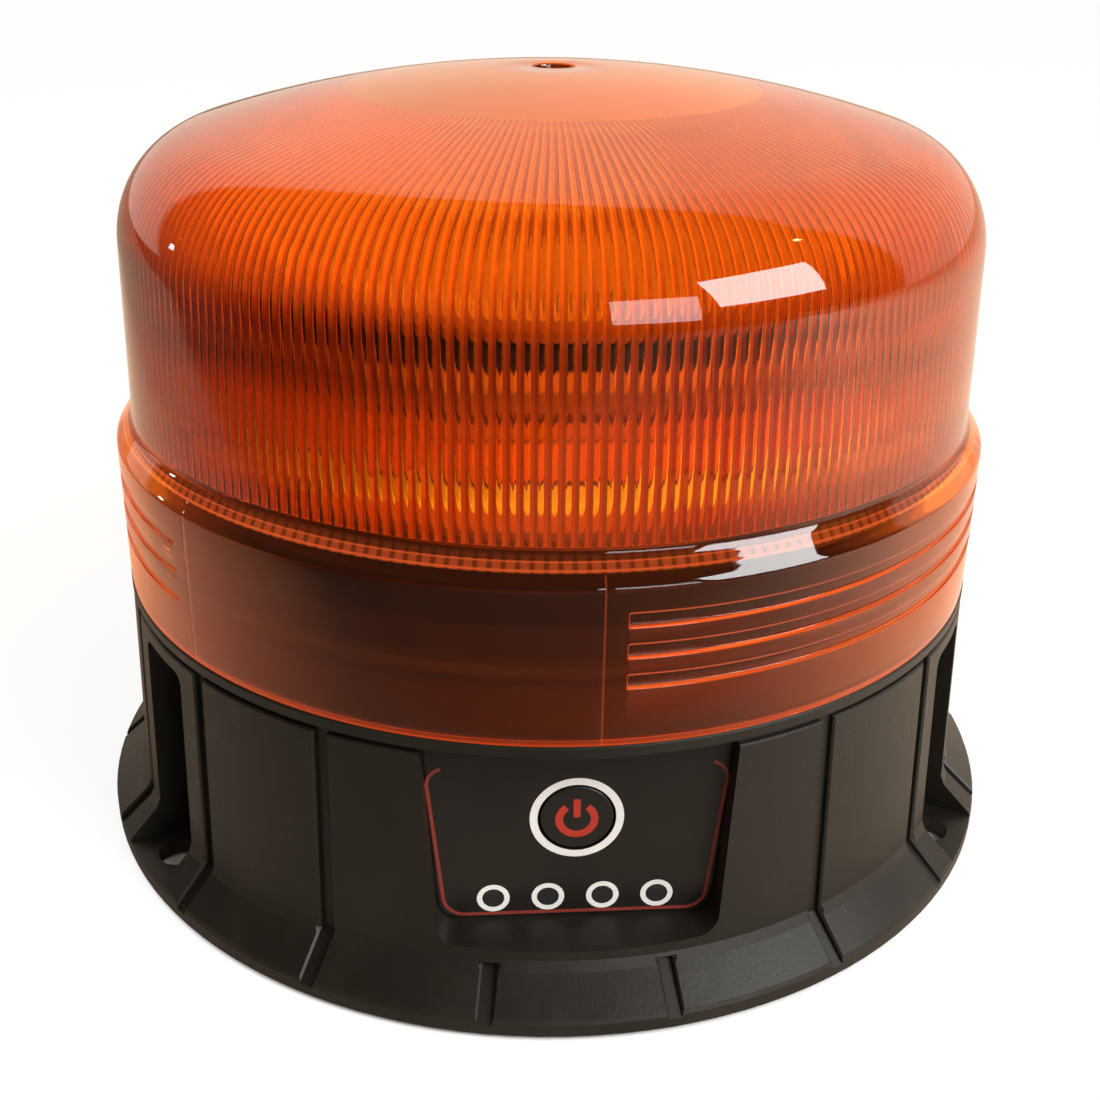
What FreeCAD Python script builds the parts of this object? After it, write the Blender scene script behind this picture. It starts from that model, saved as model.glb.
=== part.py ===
import FreeCAD, Part
import math
import os

V = FreeCAD.Vector

# Driving dimensions in millimetres. Azimuths are degrees from the keypad side (-Y) towards +X.

# Housing outside
housing_bottom = 0.5
flange_r = 75.0
flange_edge_h = 2.7
flange_rise = 5.0
flange_round = 0.4
foot_round = 0.9
rim_round = 0.25
flange_w = 5.5
wall_draft = 1.25
wall_top_z = 40.1
rim_groove_h = 0.7
rim_groove_depth = 0.85
rim_h = 1.8
rim_proud = 0.1
collar_h = 20.6

# Housing inside
wall_t = 2.6
floor_t = 2.5
shelf_t = 3.0
shelf_seat_w = 6.5
shelf_drop = 3.2

# Grooves that divide the wall and the flange
groove_step = 20.0
groove_w = 2.0
groove_depth = 0.9
groove_flare = 0.3

# Bolt pockets
pocket_count = 3
pocket_first_az = 60.0
pocket_w = 13.6
pocket_drop = 2.1
pocket_corner_r = 2.0
bolt_edge = 6.0
bolt_hole_r = 3.25
washer_r = 6.9
pocket_wall_t = 2.0

# Amber lens
band_inset = 0.05
band_draft = 0.2
lens_t = 2.6
lens_h = 74.4
band_h = 22.8
ledge_bevel = 2.6
ledge_round = 0.7
dome_inset = 3.4
cap_radius = 184.0
shoulder_radius = 16.0
flute_count = 240
flute_depth = 0.75
flute_clear_z = 1.6
flute_run = 34.0
dimple_r = 3.25
dimple_depth = 1.5
rib_h = 2.0
rib_depth = 0.8
rib_pitch = 4.3
rib_drop = 4.0
rib_rows = 3
rib_zones = 3
rib_start_az = 4.7
rib_end_az = 67.3
lens_boss_r = 3.2
lens_boss_inset = 7.8
lens_boss_h = 10.0
lens_boss_rib_t = 2.4

# Lens seal
seal_section_r = 1.0
seal_lift = 9.4
seal_groove_w = 2.4

# Keypad
panel_depth = 7.5
panel_wall_t = 2.4
recess_top_w = 20.7
recess_bottom_w = 19.0
recess_over = 0.2
recess_lift = 3.0
recess_slope = 0.7
recess_corner_r = 3.0
overlay_t = 0.4
overlay_margin = 0.25
key_drop = 12.7
key_r = 5.0
key_clear = 0.3
key_t = 0.7
key_travel = 0.5
key_seat_gap = 0.15
key_stem_r = 2.0
window_lift = 3.3
window_pitch = 7.57
window_count = 4
window_r = 1.5
pipe_clear = 0.05
pipe_flange_r = 2.0
pipe_flange_t = 0.8
keypad_post_h = 5.1
keypad_post_r = 2.6
keypad_post_x = 16.2
keypad_post_below = 1.0
keypad_post_above = 7.4
keypad_board_t = 1.6
keypad_board_margin = 3.2
switch_size = 6.0
switch_h = 3.1
plunger_r = 1.7
plunger_reach = 0.9

# Charging socket and its hinged cover
socket_az = 140.0
socket_drop = 15.1
socket_seat_depth = 2.9
socket_seat_w = 17.0
socket_seat_h = 22.0
socket_body_r = 5.5
socket_bore_r = 3.2
socket_depth = 9.0
socket_wall_back = 2.4
socket_pin_r = 1.0
socket_pin_l = 5.0
cover_flap_t = 1.6
cover_flap_gap = 0.3
cover_nub_r = 2.4
cover_nub_l = 1.8
hinge_barrel_r = 1.5
hinge_pin_r = 0.75
hinge_fit = 0.05

# Bottom cover and magnets
cover_margin = 1.1
cover_gap = 0.3
cover_t = 6.5
pad_inset = 9.0
pad_t = 1.6
magnet_count = 4
magnet_share = 0.34
magnet_circle_share = 0.58
magnet_clear = 0.3
yoke_inset = 2.0
yoke_t = 1.5
boss_inset = 3.5
boss_w = 9.0
boss_h = 11.0
boss_swing = 25.0

# Battery and main board
tray_over = 1.5
tray_nominal_r = 51.5
tray_floor_t = 1.5
cell_nominal_r = 9.2
cell_nominal_l = 65.0
cell_count = 4
cell_gap = 0.4
cell_lift = 0.1
strip_t = 0.5
strip_w = 8.0
tray_wall_t = 1.4
tray_wall_h = 11.0
post_inset = 6.5
post_r = 3.0
post_over = 3.6
board_inset = 2.5
board_t = 1.6
tray_screw_share_x = 23.5 / 51.5
tray_screw_gap = 0.25
inductor_at = (-22.5, 12.5)
inductor_side = 13.0
inductor_r = 5.6
inductor_h = 8.0
capacitor_x = 22.0
capacitor_ys = (-8.0, 4.0, 16.0)
capacitor_r = 5.0
capacitor_h = 13.0
chip_at = (-9.0, -19.0)
chip_side = 10.0
chip_h = 2.0
plug_spots = ((-30.0, -8.0), (6.0, -34.0))
plug_w = 8.0
plug_d = 6.0
plug_h = 6.5

# LED tower
deck_gap = 4.5
deck_t = 3.0
deck_hole_r = 8.0
tower_sides = 8
tower_inset = 13.5
tower_wall = 3.0
tower_headroom = 29.7
tower_flange_t = 3.0
tower_flange_w = 12.0
side_board_short = 10.0
side_board_gap = 1.5
led_board_t = 1.2
emitter_w = 3.5
emitter_t = 1.4
emitter_col_share = 0.25
emitter_row_share = 0.3
top_emitters = 12
top_emitter_inset = 3.5
top_board_over = 5.0
lead_r = 0.9
lead_x = 3.0

# Screws
screw_clear = 0.05
m3_r = 1.5
m3_hole_r = m3_r + screw_clear
m3_head_r = 2.75
m3_head_h = 1.9
m3_hex = 1.3
m2_r = 1.0
m2_head_r = 1.9
m2_head_h = 1.3

# Radii that follow from the flange
wall_foot_r = flange_r - flange_w
wall_top_r = wall_foot_r - wall_draft
band_r = wall_top_r - band_inset
band_top_r = band_r - band_draft
dome_wall_r = band_top_r - dome_inset
rim_r = band_r + rim_proud
band_in_r = band_r - lens_t - 0.2
collar_r = band_in_r - seal_section_r
collar_in_r = collar_r - wall_t
flute_inner_r = dome_wall_r - flute_run
lens_boss_circle_r = collar_in_r - lens_boss_inset
deck_r = lens_boss_circle_r - deck_gap
shelf_hole_r = deck_r - shelf_seat_w
tower_flat = deck_r - tower_inset
tower_flange_r = tower_flat - tower_flange_w
top_board_r = tower_flat + top_board_over
top_emitter_circle_r = tower_flat - top_emitter_inset
side_board_w = tower_flat - side_board_short
emitter_col = emitter_col_share * side_board_w
bolt_circle_r = flange_r - bolt_edge
pocket_back_r = bolt_circle_r - washer_r
cover_r = pocket_back_r - pocket_wall_t - cover_margin
boss_circle_r = cover_r - boss_inset
pad_r = cover_r - pad_inset
yoke_r = pad_r - yoke_inset
magnet_r = magnet_share * pad_r
magnet_circle_r = magnet_circle_share * pad_r
tray_r = pad_r + tray_over
inner_scale = tray_r / tray_nominal_r
cell_r = inner_scale * cell_nominal_r
cell_l = inner_scale * cell_nominal_l
tray_screw_x = tray_screw_share_x * tray_r
tray_screw_y = (cell_count * (cell_r + cell_gap / 2) + tray_wall_t + m3_head_r + tray_screw_gap)
post_circle_r = tray_r - post_inset
board_r = tray_r - board_inset
panel_y = wall_foot_r - panel_depth
panel_in_y = panel_y - panel_wall_t
keypad_board_y = panel_in_y - keypad_post_h
socket_seat_r = wall_foot_r - socket_seat_depth

# Heights that follow from the sizes above
flange_edge_z = housing_bottom + flange_edge_h
wall_foot_z = flange_edge_z + flange_rise
rim_bottom_z = wall_top_z + rim_groove_h
lens_z = rim_bottom_z + rim_h
floor_z = housing_bottom + floor_t
pocket_top_z = wall_top_z - pocket_drop
ledge_z = lens_z + band_h
rib_top_z = ledge_z - rib_drop
seal_z = lens_z + seal_lift
collar_top_z = lens_z + collar_h
shelf_top_z = collar_top_z - shelf_drop
shelf_z = shelf_top_z - shelf_t
recess_top_z = wall_top_z + recess_over
recess_floor_z = wall_foot_z + recess_lift
key_z = recess_top_z - key_drop
window_z = recess_floor_z + window_lift
keypad_post_low_z = window_z - keypad_post_below
keypad_post_high_z = key_z + keypad_post_above
socket_z = wall_top_z - socket_drop
cover_top_z = housing_bottom + cover_t
yoke_top_z = cover_top_z + yoke_t
tray_top_z = yoke_top_z + tray_floor_t
post_h = 2 * cell_r + post_over
board_z = tray_top_z + post_h
deck_top_z = shelf_top_z + deck_t
tower_top_z = lens_z + lens_h - tower_headroom
tower_h = tower_top_z - deck_top_z
side_board_h = tower_h - 2 * side_board_gap
emitter_row = emitter_row_share * tower_h
top_board_z = tower_top_z + led_board_t

os.makedirs("parts", exist_ok=True)


def save(name, shape):
    shape.exportStep("parts/%s.step" % name)


def group(solids):
    return Part.makeCompound(solids)


def spin(points, start_az=None, sweep=360.0):
    """Turn a closed (radius, height) outline about Z."""
    wire = Part.makePolygon([V(r, 0, z) for r, z in points + points[:1]])
    solid = Part.Face(wire).revolve(V(0, 0, 0), V(0, 0, 1), sweep)
    if start_az is not None:
        solid.rotate(V(0, 0, 0), V(0, 0, 1), start_az - 90.0)
    return solid


def polar(shape, az):
    """Turn a copy of a shape built along +X so that it points to an azimuth."""
    turned = shape.copy()
    turned.rotate(V(0, 0, 0), V(0, 0, 1), az - 90.0)
    return turned


def ring_of(shape, azimuths):
    return [polar(shape, az) for az in azimuths]


def post(radius, height, x, y, z):
    return Part.makeCylinder(radius, height, V(x, y, z), V(0, 0, 1))


def rod(radius, y_out, y_in, x, z):
    """A round bar behind the keypad, from depth y_out in to depth y_in."""
    return Part.makeCylinder(radius, y_out - y_in, V(x, -y_out, z), V(0, 1, 0))


def block(x0, x1, y0, y1, z0, z1):
    return Part.makeBox(x1 - x0, y1 - y0, z1 - z0, V(x0, y0, z0))


def screw(radius, length, head_r, head_h, hexagon=None):
    """A screw on Z: head above zero, shank below, with a socket if asked."""
    solid = post(head_r, head_h, 0, 0, 0).fuse(post(radius, length, 0, 0, -length))
    if hexagon:
        key = [V(hexagon * math.cos(i * math.pi / 3), hexagon * math.sin(i * math.pi / 3), head_h)
               for i in range(7)]
        solid = solid.cut(Part.Face(Part.makePolygon(key)).extrude(V(0, 0, -0.7 * head_h)))
    return solid


def upside_down(shape):
    turned = shape.copy()
    turned.rotate(V(0, 0, 0), V(1, 0, 0), 180.0)
    return turned


def moved(shape, x, y, z):
    copy = shape.copy()
    copy.translate(V(x, y, z))
    return copy


def rounded_panel(top_w, bottom_w, top_z, bottom_z, corner, y):
    """Upright trapezium outline at depth y with rounded lower corners."""
    lean = math.atan2(top_w - bottom_w, top_z - bottom_z)
    reach = corner * math.tan((math.pi / 2 - lean) / 2)
    side_x = bottom_w + reach * math.sin(lean)
    side_z = bottom_z + reach * math.cos(lean)
    centre = V(bottom_w - reach, -y, bottom_z + corner)
    away = V(bottom_w, -y, bottom_z) - centre
    mid = centre + away * (corner / away.Length)
    flip = lambda p: V(-p.x, p.y, p.z)
    low = V(bottom_w - reach, -y, bottom_z)
    side = V(side_x, -y, side_z)
    top = V(top_w, -y, top_z)
    edges = [Part.makeLine(flip(low), low),
             Part.Arc(low, mid, side).toShape(),
             Part.makeLine(side, top),
             Part.makeLine(top, flip(top)),
             Part.makeLine(flip(top), flip(side)),
             Part.Arc(flip(side), flip(mid), flip(low)).toShape()]
    return Part.Wire(edges)


pocket_azimuths = [pocket_first_az + i * 360.0 / pocket_count for i in range(pocket_count)]
boss_azimuths = [az + side * boss_swing for az in pocket_azimuths for side in (-1, 1)]
groove_azimuths = [groove_step * (i + 0.5) for i in range(round(360.0 / groove_step))]
window_xs = [(i - (window_count - 1) / 2) * window_pitch for i in range(window_count)]
keypad_posts = [(side * keypad_post_x, z) for z in (keypad_post_low_z, keypad_post_high_z)
                for side in (-1, 1)]


def wall_r(z):
    """Outer radius of the tapered housing wall at a height."""
    share = (z - wall_foot_z) / (wall_top_z - wall_foot_z)
    return wall_foot_r + share * (wall_top_r - wall_foot_r)


# Amber lens: roof, shoulder, wall, bevelled ledge and lower band in one moulding.
# The flutes inside run down the wall and radially over the shoulder and the roof.
def dome_arc(thickness):
    """Centre and start angle of the shoulder arc, for the outside less a thickness."""
    cap = cap_radius - thickness
    cap_z = lens_z + lens_h - cap_radius
    mid_r = dome_wall_r - shoulder_radius
    mid_z = cap_z + math.sqrt((cap_radius - shoulder_radius) ** 2 - mid_r ** 2)
    return cap, cap_z, mid_r, mid_z, math.atan2(mid_r, mid_z - cap_z)


def lens_outside():
    cap, cap_z, mid_r, mid_z, start = dome_arc(0.0)
    on_cap = lambda a: V(cap * math.sin(a), 0, cap_z + cap * math.cos(a))
    on_arc = lambda a: V(mid_r + shoulder_radius * math.sin(a), 0, mid_z + shoulder_radius * math.cos(a))
    bevel_in = band_top_r - ledge_bevel
    foot = V(bevel_in, 0, ledge_z + ledge_bevel + ledge_round)
    bevel_top = V(bevel_in + ledge_round / 2, 0, ledge_z + ledge_bevel)
    bevel_low = V(band_top_r - ledge_round / 2, 0, ledge_z + ledge_round)
    band_top = V(band_top_r, 0, ledge_z)
    turn = V(band_top_r - 0.05 * ledge_round, 0, ledge_z + 0.55 * ledge_round)
    edges = [Part.Arc(on_cap(0.0), on_cap(start / 2), on_cap(start)).toShape(),
             Part.Arc(on_arc(start), on_arc((start + math.pi / 2) / 2), on_arc(math.pi / 2)).toShape(),
             Part.makeLine(on_arc(math.pi / 2), foot),
             Part.makeLine(foot, bevel_top),
             Part.makeLine(bevel_top, bevel_low),
             Part.Arc(bevel_low, turn, band_top).toShape(),
             Part.makeLine(band_top, V(band_r, 0, lens_z)),
             Part.makeLine(V(band_r, 0, lens_z), V(0, 0, lens_z)),
             Part.makeLine(V(0, 0, lens_z), on_cap(0.0))]
    return Part.Face(Part.Wire(edges)).revolve(V(0, 0, 0), V(0, 0, 1), 360)


def flute_bottom_z():
    return ledge_z + ledge_bevel + flute_clear_z


def lens_wall_in_r():
    return band_top_r - ledge_bevel - lens_t + 0.35


def fluted_core():
    """The inside of the dome: rings of teeth, scaled from level to level so each flank is flat."""
    cap, cap_z, mid_r, mid_z, start = dome_arc(lens_t)
    inner = shoulder_radius - lens_t
    steps = [start + (math.pi / 2 - start) * share for share in (1.0, 0.6, 0.3, 0.0)]
    levels = [(lens_wall_in_r() - 0.1, flute_bottom_z() - 0.4)]
    levels += [(mid_r + inner * math.sin(a), mid_z + inner * math.cos(a)) for a in steps]
    levels.append((flute_inner_r, cap_z + math.sqrt(cap ** 2 - flute_inner_r ** 2)))
    ratio = 1.0 - flute_depth / levels[1][0]
    teeth = 2 * flute_count
    turn = [2 * math.pi * i / teeth for i in range(teeth)]
    rings = [[V(r * (1.0, ratio)[i % 2] * math.cos(a), r * (1.0, ratio)[i % 2] * math.sin(a), z)
              for i, a in enumerate(turn)] for r, z in levels]
    faces = [Part.Face(Part.makePolygon([low[i - 1], low[i], high[i], high[i - 1], low[i - 1]]))
             for low, high in zip(rings, rings[1:]) for i in range(teeth)]
    faces += [Part.Face(Part.makePolygon(ring + ring[:1])) for ring in (rings[0], rings[-1])]
    shell = Part.makeShell(faces)
    shell.sewShape()
    return Part.makeSolid(shell)


def dome_lens():
    lens = lens_outside()
    wall_in = lens_wall_in_r()
    hollow = [(0, lens_z - 1), (band_in_r, lens_z - 1), (band_in_r, ledge_z - 1.8),
              (wall_in, ledge_z + 1.5), (wall_in, flute_bottom_z()), (0, flute_bottom_z())]
    lens = lens.cut(spin(hollow)).cut(fluted_core())
    roof_in = lens_z + lens_h - lens_t
    lens = lens.cut(post(dimple_r, dimple_depth + 1, 0, 0, roof_in + lens_t - dimple_depth))
    cuts = []
    for row in range(rib_rows):
        top = rib_top_z - row * rib_pitch
        outline = [(band_top_r - rib_depth, top - rib_h), (band_r + 2, top - rib_h),
                   (band_r + 2, top), (band_top_r - rib_depth, top)]
        for zone in range(rib_zones):
            cuts.append(spin(outline, rib_start_az + zone * 360.0 / rib_zones, rib_end_az - rib_start_az))
    lens = lens.cut(cuts)
    rib = block(lens_boss_circle_r, wall_in + 0.4, -lens_boss_rib_t / 2, lens_boss_rib_t / 2,
                ledge_z + 1.5, shelf_top_z + lens_boss_h)
    boss = post(lens_boss_r, lens_boss_h, lens_boss_circle_r, 0, shelf_top_z).fuse(rib)
    hole = post(m3_hole_r, lens_boss_h - 2, lens_boss_circle_r, 0, shelf_top_z)
    return lens.fuse(ring_of(boss, pocket_azimuths)).cut(ring_of(hole, pocket_azimuths))


# Seal ring squeezed between the collar of the housing and the inside of the band.
def lens_seal():
    return Part.makeTorus(collar_r, seal_section_r, V(0, 0, seal_z), V(0, 0, 1))


# Base housing: flange, tapered wall, rim and collar, with pockets, grooves and the keypad recess.
def groove_tool(top_z):
    """Cutter along +X for one groove that runs down the wall and out along the flange."""
    foot = V(wall_foot_r - groove_depth, -groove_w / 2, wall_foot_z - 0.6 * groove_depth)
    edge = V(flange_r + 0.2, -groove_w / 2, flange_edge_z - 1.2 * groove_depth)
    high = V(wall_r(top_z) - groove_depth, -groove_w / 2, top_z)
    far = flange_r + 5
    points = [high, foot, edge, V(far, edge.y, edge.z), V(far, edge.y, top_z), high]
    groove = Part.Face(Part.makePolygon(points)).extrude(V(0, groove_w, 0))
    return groove.fuse(groove_mouth(top_z))


def outside_line(out, top_z):
    """Wall at a height, foot of the wall and end of the flange, all moved outwards by a distance."""
    wall = V(wall_foot_r - wall_top_r, 0, wall_foot_z - wall_top_z).normalize()
    slope = V(flange_w, 0, -flange_rise).normalize()
    wall_out, slope_out = V(-wall.z, 0, wall.x), V(-slope.z, 0, slope.x)
    foot = V(wall_foot_r, 0, wall_foot_z) + (wall_out + slope_out) * (out / (1 + wall_out.dot(slope_out)))
    return (foot + wall * ((top_z - foot.z) / wall.z), foot,
            foot + slope * ((flange_r + 1 - foot.x) / slope.x))


def groove_mouth(top_z):
    """The groove's eased edges: a channel that widens outwards, mitred at the foot of the wall."""
    narrow, wide = groove_w / 2, groove_w / 2 + 2 * groove_flare
    rings = [[V(low.x, -narrow, low.z), V(low.x, narrow, low.z),
              V(high.x, wide, high.z), V(high.x, -wide, high.z)]
             for low, high in zip(outside_line(-groove_flare, top_z), outside_line(groove_flare, top_z))]
    faces = [Part.Face(Part.makePolygon([a[i - 1], a[i], b[i], b[i - 1], a[i - 1]]))
             for a, b in zip(rings, rings[1:]) for i in range(4)]
    faces += [Part.Face(Part.makePolygon(ring + ring[:1])) for ring in (rings[0], rings[-1])]
    return Part.makeSolid(Part.makeShell(faces))


def pocket_tool():
    """Cutter along +X for one bolt pocket, open at the flange edge."""
    pocket = block(pocket_back_r, flange_r + 5, -pocket_w / 2, pocket_w / 2, floor_z, pocket_top_z)
    top_edges = [e for e in pocket.Edges
                 if abs(e.BoundBox.ZMin - pocket_top_z) < 1e-6 and e.BoundBox.YLength < 1e-6]
    pocket = pocket.makeFillet(pocket_corner_r, top_edges)
    return pocket.fuse(post(bolt_hole_r, floor_t + 2, bolt_circle_r, 0, housing_bottom - 1))


def keypad_recess():
    panel = rounded_panel(recess_top_w, recess_bottom_w, recess_top_z, recess_floor_z,
                          recess_corner_r, panel_y)
    reach = wall_foot_r + 1 - panel_y
    out = recess_slope * reach / (wall_foot_r - panel_y)
    mouth = rounded_panel(recess_top_w + out, recess_bottom_w + out, recess_top_z, recess_floor_z - out,
                          recess_corner_r, panel_y + reach)
    return Part.makeLoft([panel, mouth], True, True)


def socket_seat():
    """Cutter along +X for the flat seat behind the charging cover."""
    return block(socket_seat_r, flange_r, -socket_seat_w / 2, socket_seat_w / 2,
                 socket_z - socket_seat_h / 2, socket_z + socket_seat_h / 2)


def hinge_place():
    return (socket_seat_r + cover_flap_gap + hinge_barrel_r,
            socket_z + socket_seat_h / 2 - hinge_barrel_r - 0.6)


def hinge_rod(radius, length):
    u, z = hinge_place()
    return Part.makeCylinder(radius, length, V(u, -length / 2, z), V(0, 1, 0))


def housing_inside():
    """Hollow of the housing, less the walls behind the pockets, the keypad and the socket."""
    top_in = wall_top_r - wall_t
    lower = spin([(0, housing_bottom - 1), (cover_r + cover_gap, housing_bottom - 1),
                  (cover_r + cover_gap, floor_z), (wall_foot_r - wall_t, floor_z),
                  (wall_foot_r - wall_t, wall_foot_z), (top_in, wall_top_z - 1),
                  (collar_in_r, wall_top_z + 2), (collar_in_r, shelf_z), (0, shelf_z)])
    jacket = block(pocket_back_r - pocket_wall_t, flange_r, -pocket_w / 2 - pocket_wall_t,
                   pocket_w / 2 + pocket_wall_t, 0, pocket_top_z + pocket_wall_t)
    walls = ring_of(jacket, pocket_azimuths)
    panel_half = recess_top_w + recess_slope + panel_wall_t
    walls.append(block(-panel_half, panel_half, -flange_r, -panel_in_y, 0, shelf_z))
    walls.append(polar(block(socket_seat_r - socket_wall_back, flange_r, -socket_seat_w / 2 - wall_t,
                             socket_seat_w / 2 + wall_t, socket_z - socket_seat_h / 2 - wall_t,
                             socket_z + socket_seat_h / 2 + wall_t), socket_az))
    return lower.cut(walls)


def base_housing():
    slope = math.hypot(flange_w, flange_rise)
    run, rise = flange_w / slope, flange_rise / slope
    outline = [(0, housing_bottom), (flange_r - flange_round, housing_bottom),
               (flange_r, housing_bottom + flange_round), (flange_r, flange_edge_z - flange_round),
               (flange_r - flange_round * run, flange_edge_z + flange_round * rise),
               (wall_foot_r + foot_round * run, wall_foot_z - foot_round * rise),
               (wall_r(wall_foot_z + foot_round), wall_foot_z + foot_round),
               (wall_r(wall_top_z - rim_round), wall_top_z - rim_round), (wall_top_r - rim_round, wall_top_z),
               (wall_top_r - rim_groove_depth, wall_top_z), (wall_top_r - rim_groove_depth, rim_bottom_z),
               (rim_r - rim_round, rim_bottom_z), (rim_r, rim_bottom_z + rim_round),
               (rim_r, lens_z - rim_round), (rim_r - rim_round, lens_z), (collar_r, lens_z),
               (collar_r, seal_z - seal_groove_w / 2),
               (collar_r - seal_section_r, seal_z - seal_groove_w / 2),
               (collar_r - seal_section_r, seal_z + seal_groove_w / 2),
               (collar_r, seal_z + seal_groove_w / 2),
               (collar_r, collar_top_z), (0, collar_top_z)]
    housing = spin(outline).cut(housing_inside())
    bowl = spin([(0, shelf_top_z), (collar_in_r, shelf_top_z), (collar_in_r, collar_top_z + 1),
                 (0, collar_top_z + 1)])
    cuts = [bowl, post(shelf_hole_r, shelf_t + 2, 0, 0, shelf_z - 1), keypad_recess()]
    cuts += ring_of(pocket_tool(), pocket_azimuths)
    cuts += ring_of(groove_tool(wall_top_z), groove_azimuths[1:-1])
    cuts += ring_of(groove_tool(wall_foot_z + 0.4), (groove_azimuths[0], groove_azimuths[-1]))
    cuts.append(polar(socket_seat(), socket_az))
    housing = housing.cut(cuts)

    boss = block(boss_circle_r - 0.35 * boss_w, wall_foot_r - wall_t + 0.3, -boss_w / 2, boss_w / 2,
                 cover_top_z, cover_top_z + boss_h)
    posts = [rod(keypad_post_r, panel_in_y + 0.2, keypad_board_y, x, z) for x, z in keypad_posts]
    housing = housing.fuse(ring_of(boss, boss_azimuths) + posts)

    holes = ring_of(post(m3_hole_r, boss_h - 1.5, boss_circle_r, 0, cover_top_z), boss_azimuths)
    holes += [rod(m2_r + screw_clear, panel_in_y - 0.4, keypad_board_y, x, z) for x, z in keypad_posts]
    holes += [rod(window_r - pipe_clear, panel_y + 1, panel_in_y - 1, x, window_z) for x in window_xs]
    holes.append(rod(key_r + key_clear, panel_y + 1, panel_y - key_t - key_travel - key_seat_gap, 0, key_z))
    holes.append(rod(key_stem_r + key_clear, panel_y, panel_in_y - 1, 0, key_z))
    holes += ring_of(post(m3_hole_r, shelf_t + 2, lens_boss_circle_r, 0, shelf_z - 1), pocket_azimuths)
    holes += ring_of(post(m3_hole_r, shelf_t + 2, deck_screw_r(), 0, shelf_z - 1), quarter_azimuths(45))
    socket_hole = Part.makeCylinder(socket_body_r + screw_clear, 9, V(socket_seat_r - 8, 0, socket_z),
                                    V(1, 0, 0))
    holes.append(polar(socket_hole, socket_az))
    holes.append(polar(hinge_rod(hinge_pin_r, socket_seat_w + 2 * wall_t), socket_az))
    return housing.cut(holes)


def quarter_azimuths(first):
    return [first + 90.0 * i for i in range(4)]


def deck_screw_r():
    return (shelf_hole_r + deck_r) / 2


# Bottom cover, steel yoke, magnets and rubber pad of the magnetic foot.
magnet_azimuths = [45.0 + i * 360.0 / magnet_count for i in range(magnet_count)]
tray_screw_spots = [(sx * tray_screw_x, sy * tray_screw_y) for sx in (-1, 1) for sy in (-1, 1)]


def bottom_cover():
    cover = post(cover_r, cover_t, 0, 0, housing_bottom)
    cuts = [post(pad_r, pad_t, 0, 0, 0)]
    cuts += ring_of(post(magnet_r + magnet_clear, cover_t, magnet_circle_r, 0, housing_bottom),
                    magnet_azimuths)
    cuts += ring_of(post(m3_hole_r, cover_t + 2, boss_circle_r, 0, 0), boss_azimuths)
    cuts += ring_of(post(m3_head_r + 0.3, m3_head_h + 0.6, boss_circle_r, 0, housing_bottom), boss_azimuths)
    cuts += [post(m3_hole_r, cover_t, x, y, pad_t + 0.8) for x, y in tray_screw_spots]
    return cover.cut(cuts)


def cover_screws():
    one = upside_down(screw(m3_r, cover_t + boss_h - 5, m3_head_r, m3_head_h, m3_hex))
    seat = housing_bottom + m3_head_h + 0.6
    return group(ring_of(moved(one, boss_circle_r, 0, seat), boss_azimuths))


def magnet_yoke():
    plate = post(yoke_r, yoke_t, 0, 0, cover_top_z)
    return plate.cut([post(m3_hole_r, yoke_t + 2, x, y, cover_top_z - 1) for x, y in tray_screw_spots])


def magnets():
    one = post(magnet_r, cover_top_z - pad_t, magnet_circle_r, 0, pad_t)
    return group(ring_of(one, magnet_azimuths))


def magnet_pad():
    return post(pad_r, pad_t, 0, 0, 0)


# Battery: four round cells in a tray that also carries the main board on posts.
cell_ys = [(i - (cell_count - 1) / 2) * (2 * cell_r + cell_gap) for i in range(cell_count)]
cell_z = tray_top_z + cell_r + cell_lift
end_x = cell_l / 2 + strip_t
side_y = cell_ys[-1] + cell_r + cell_gap / 2


def battery_tray():
    tray = post(tray_r, tray_floor_t, 0, 0, yoke_top_z)
    frame = block(-end_x - tray_wall_t, end_x + tray_wall_t, -side_y - tray_wall_t, side_y + tray_wall_t,
                  tray_top_z - 0.2, tray_top_z + tray_wall_h)
    frame = frame.cut(block(-end_x, end_x, -side_y, side_y, tray_top_z, tray_top_z + tray_wall_h + 1))
    posts = ring_of(post(post_r, post_h + 0.2, post_circle_r, 0, tray_top_z - 0.2), quarter_azimuths(0))
    tray = tray.fuse([frame] + posts)
    holes = ring_of(post(m2_r + screw_clear, 8, post_circle_r, 0, board_z - 8), quarter_azimuths(0))
    holes += [post(m3_hole_r, tray_floor_t + 2, x, y, yoke_top_z - 1) for x, y in tray_screw_spots]
    return tray.cut(holes)


def tray_screws():
    one = screw(m3_r, tray_floor_t + yoke_t + 3, m3_head_r - 0.35, m3_head_h, m3_hex)
    return group([moved(one, x, y, tray_top_z) for x, y in tray_screw_spots])


def battery_cells():
    solids = [Part.makeCylinder(cell_r, cell_l, V(-cell_l / 2, y, cell_z), V(1, 0, 0)) for y in cell_ys]
    return group(solids)


def battery_contacts():
    strips = []
    for side in (-1, 1):
        x0 = cell_l / 2 if side > 0 else -end_x
        for low, high in (cell_ys[:2], cell_ys[2:]):
            strips.append(block(x0, x0 + strip_t, low - strip_w / 2, high + strip_w / 2,
                                cell_z - strip_w / 2, cell_z + strip_w / 2))
    return group(strips)


# Main board with its inductor, capacitors, driver chip and plugs.
def on_board(spot):
    return inner_scale * spot[0], inner_scale * spot[1]


def main_board():
    board = post(board_r, board_t, 0, 0, board_z)
    return board.cut(ring_of(post(m2_r + screw_clear, board_t + 2, post_circle_r, 0, board_z - 1),
                             quarter_azimuths(0)))


def board_screws():
    one = moved(screw(m2_r, 7.0, m2_head_r, m2_head_h), post_circle_r, 0, board_z + board_t)
    return group(ring_of(one, quarter_azimuths(0)))


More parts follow.
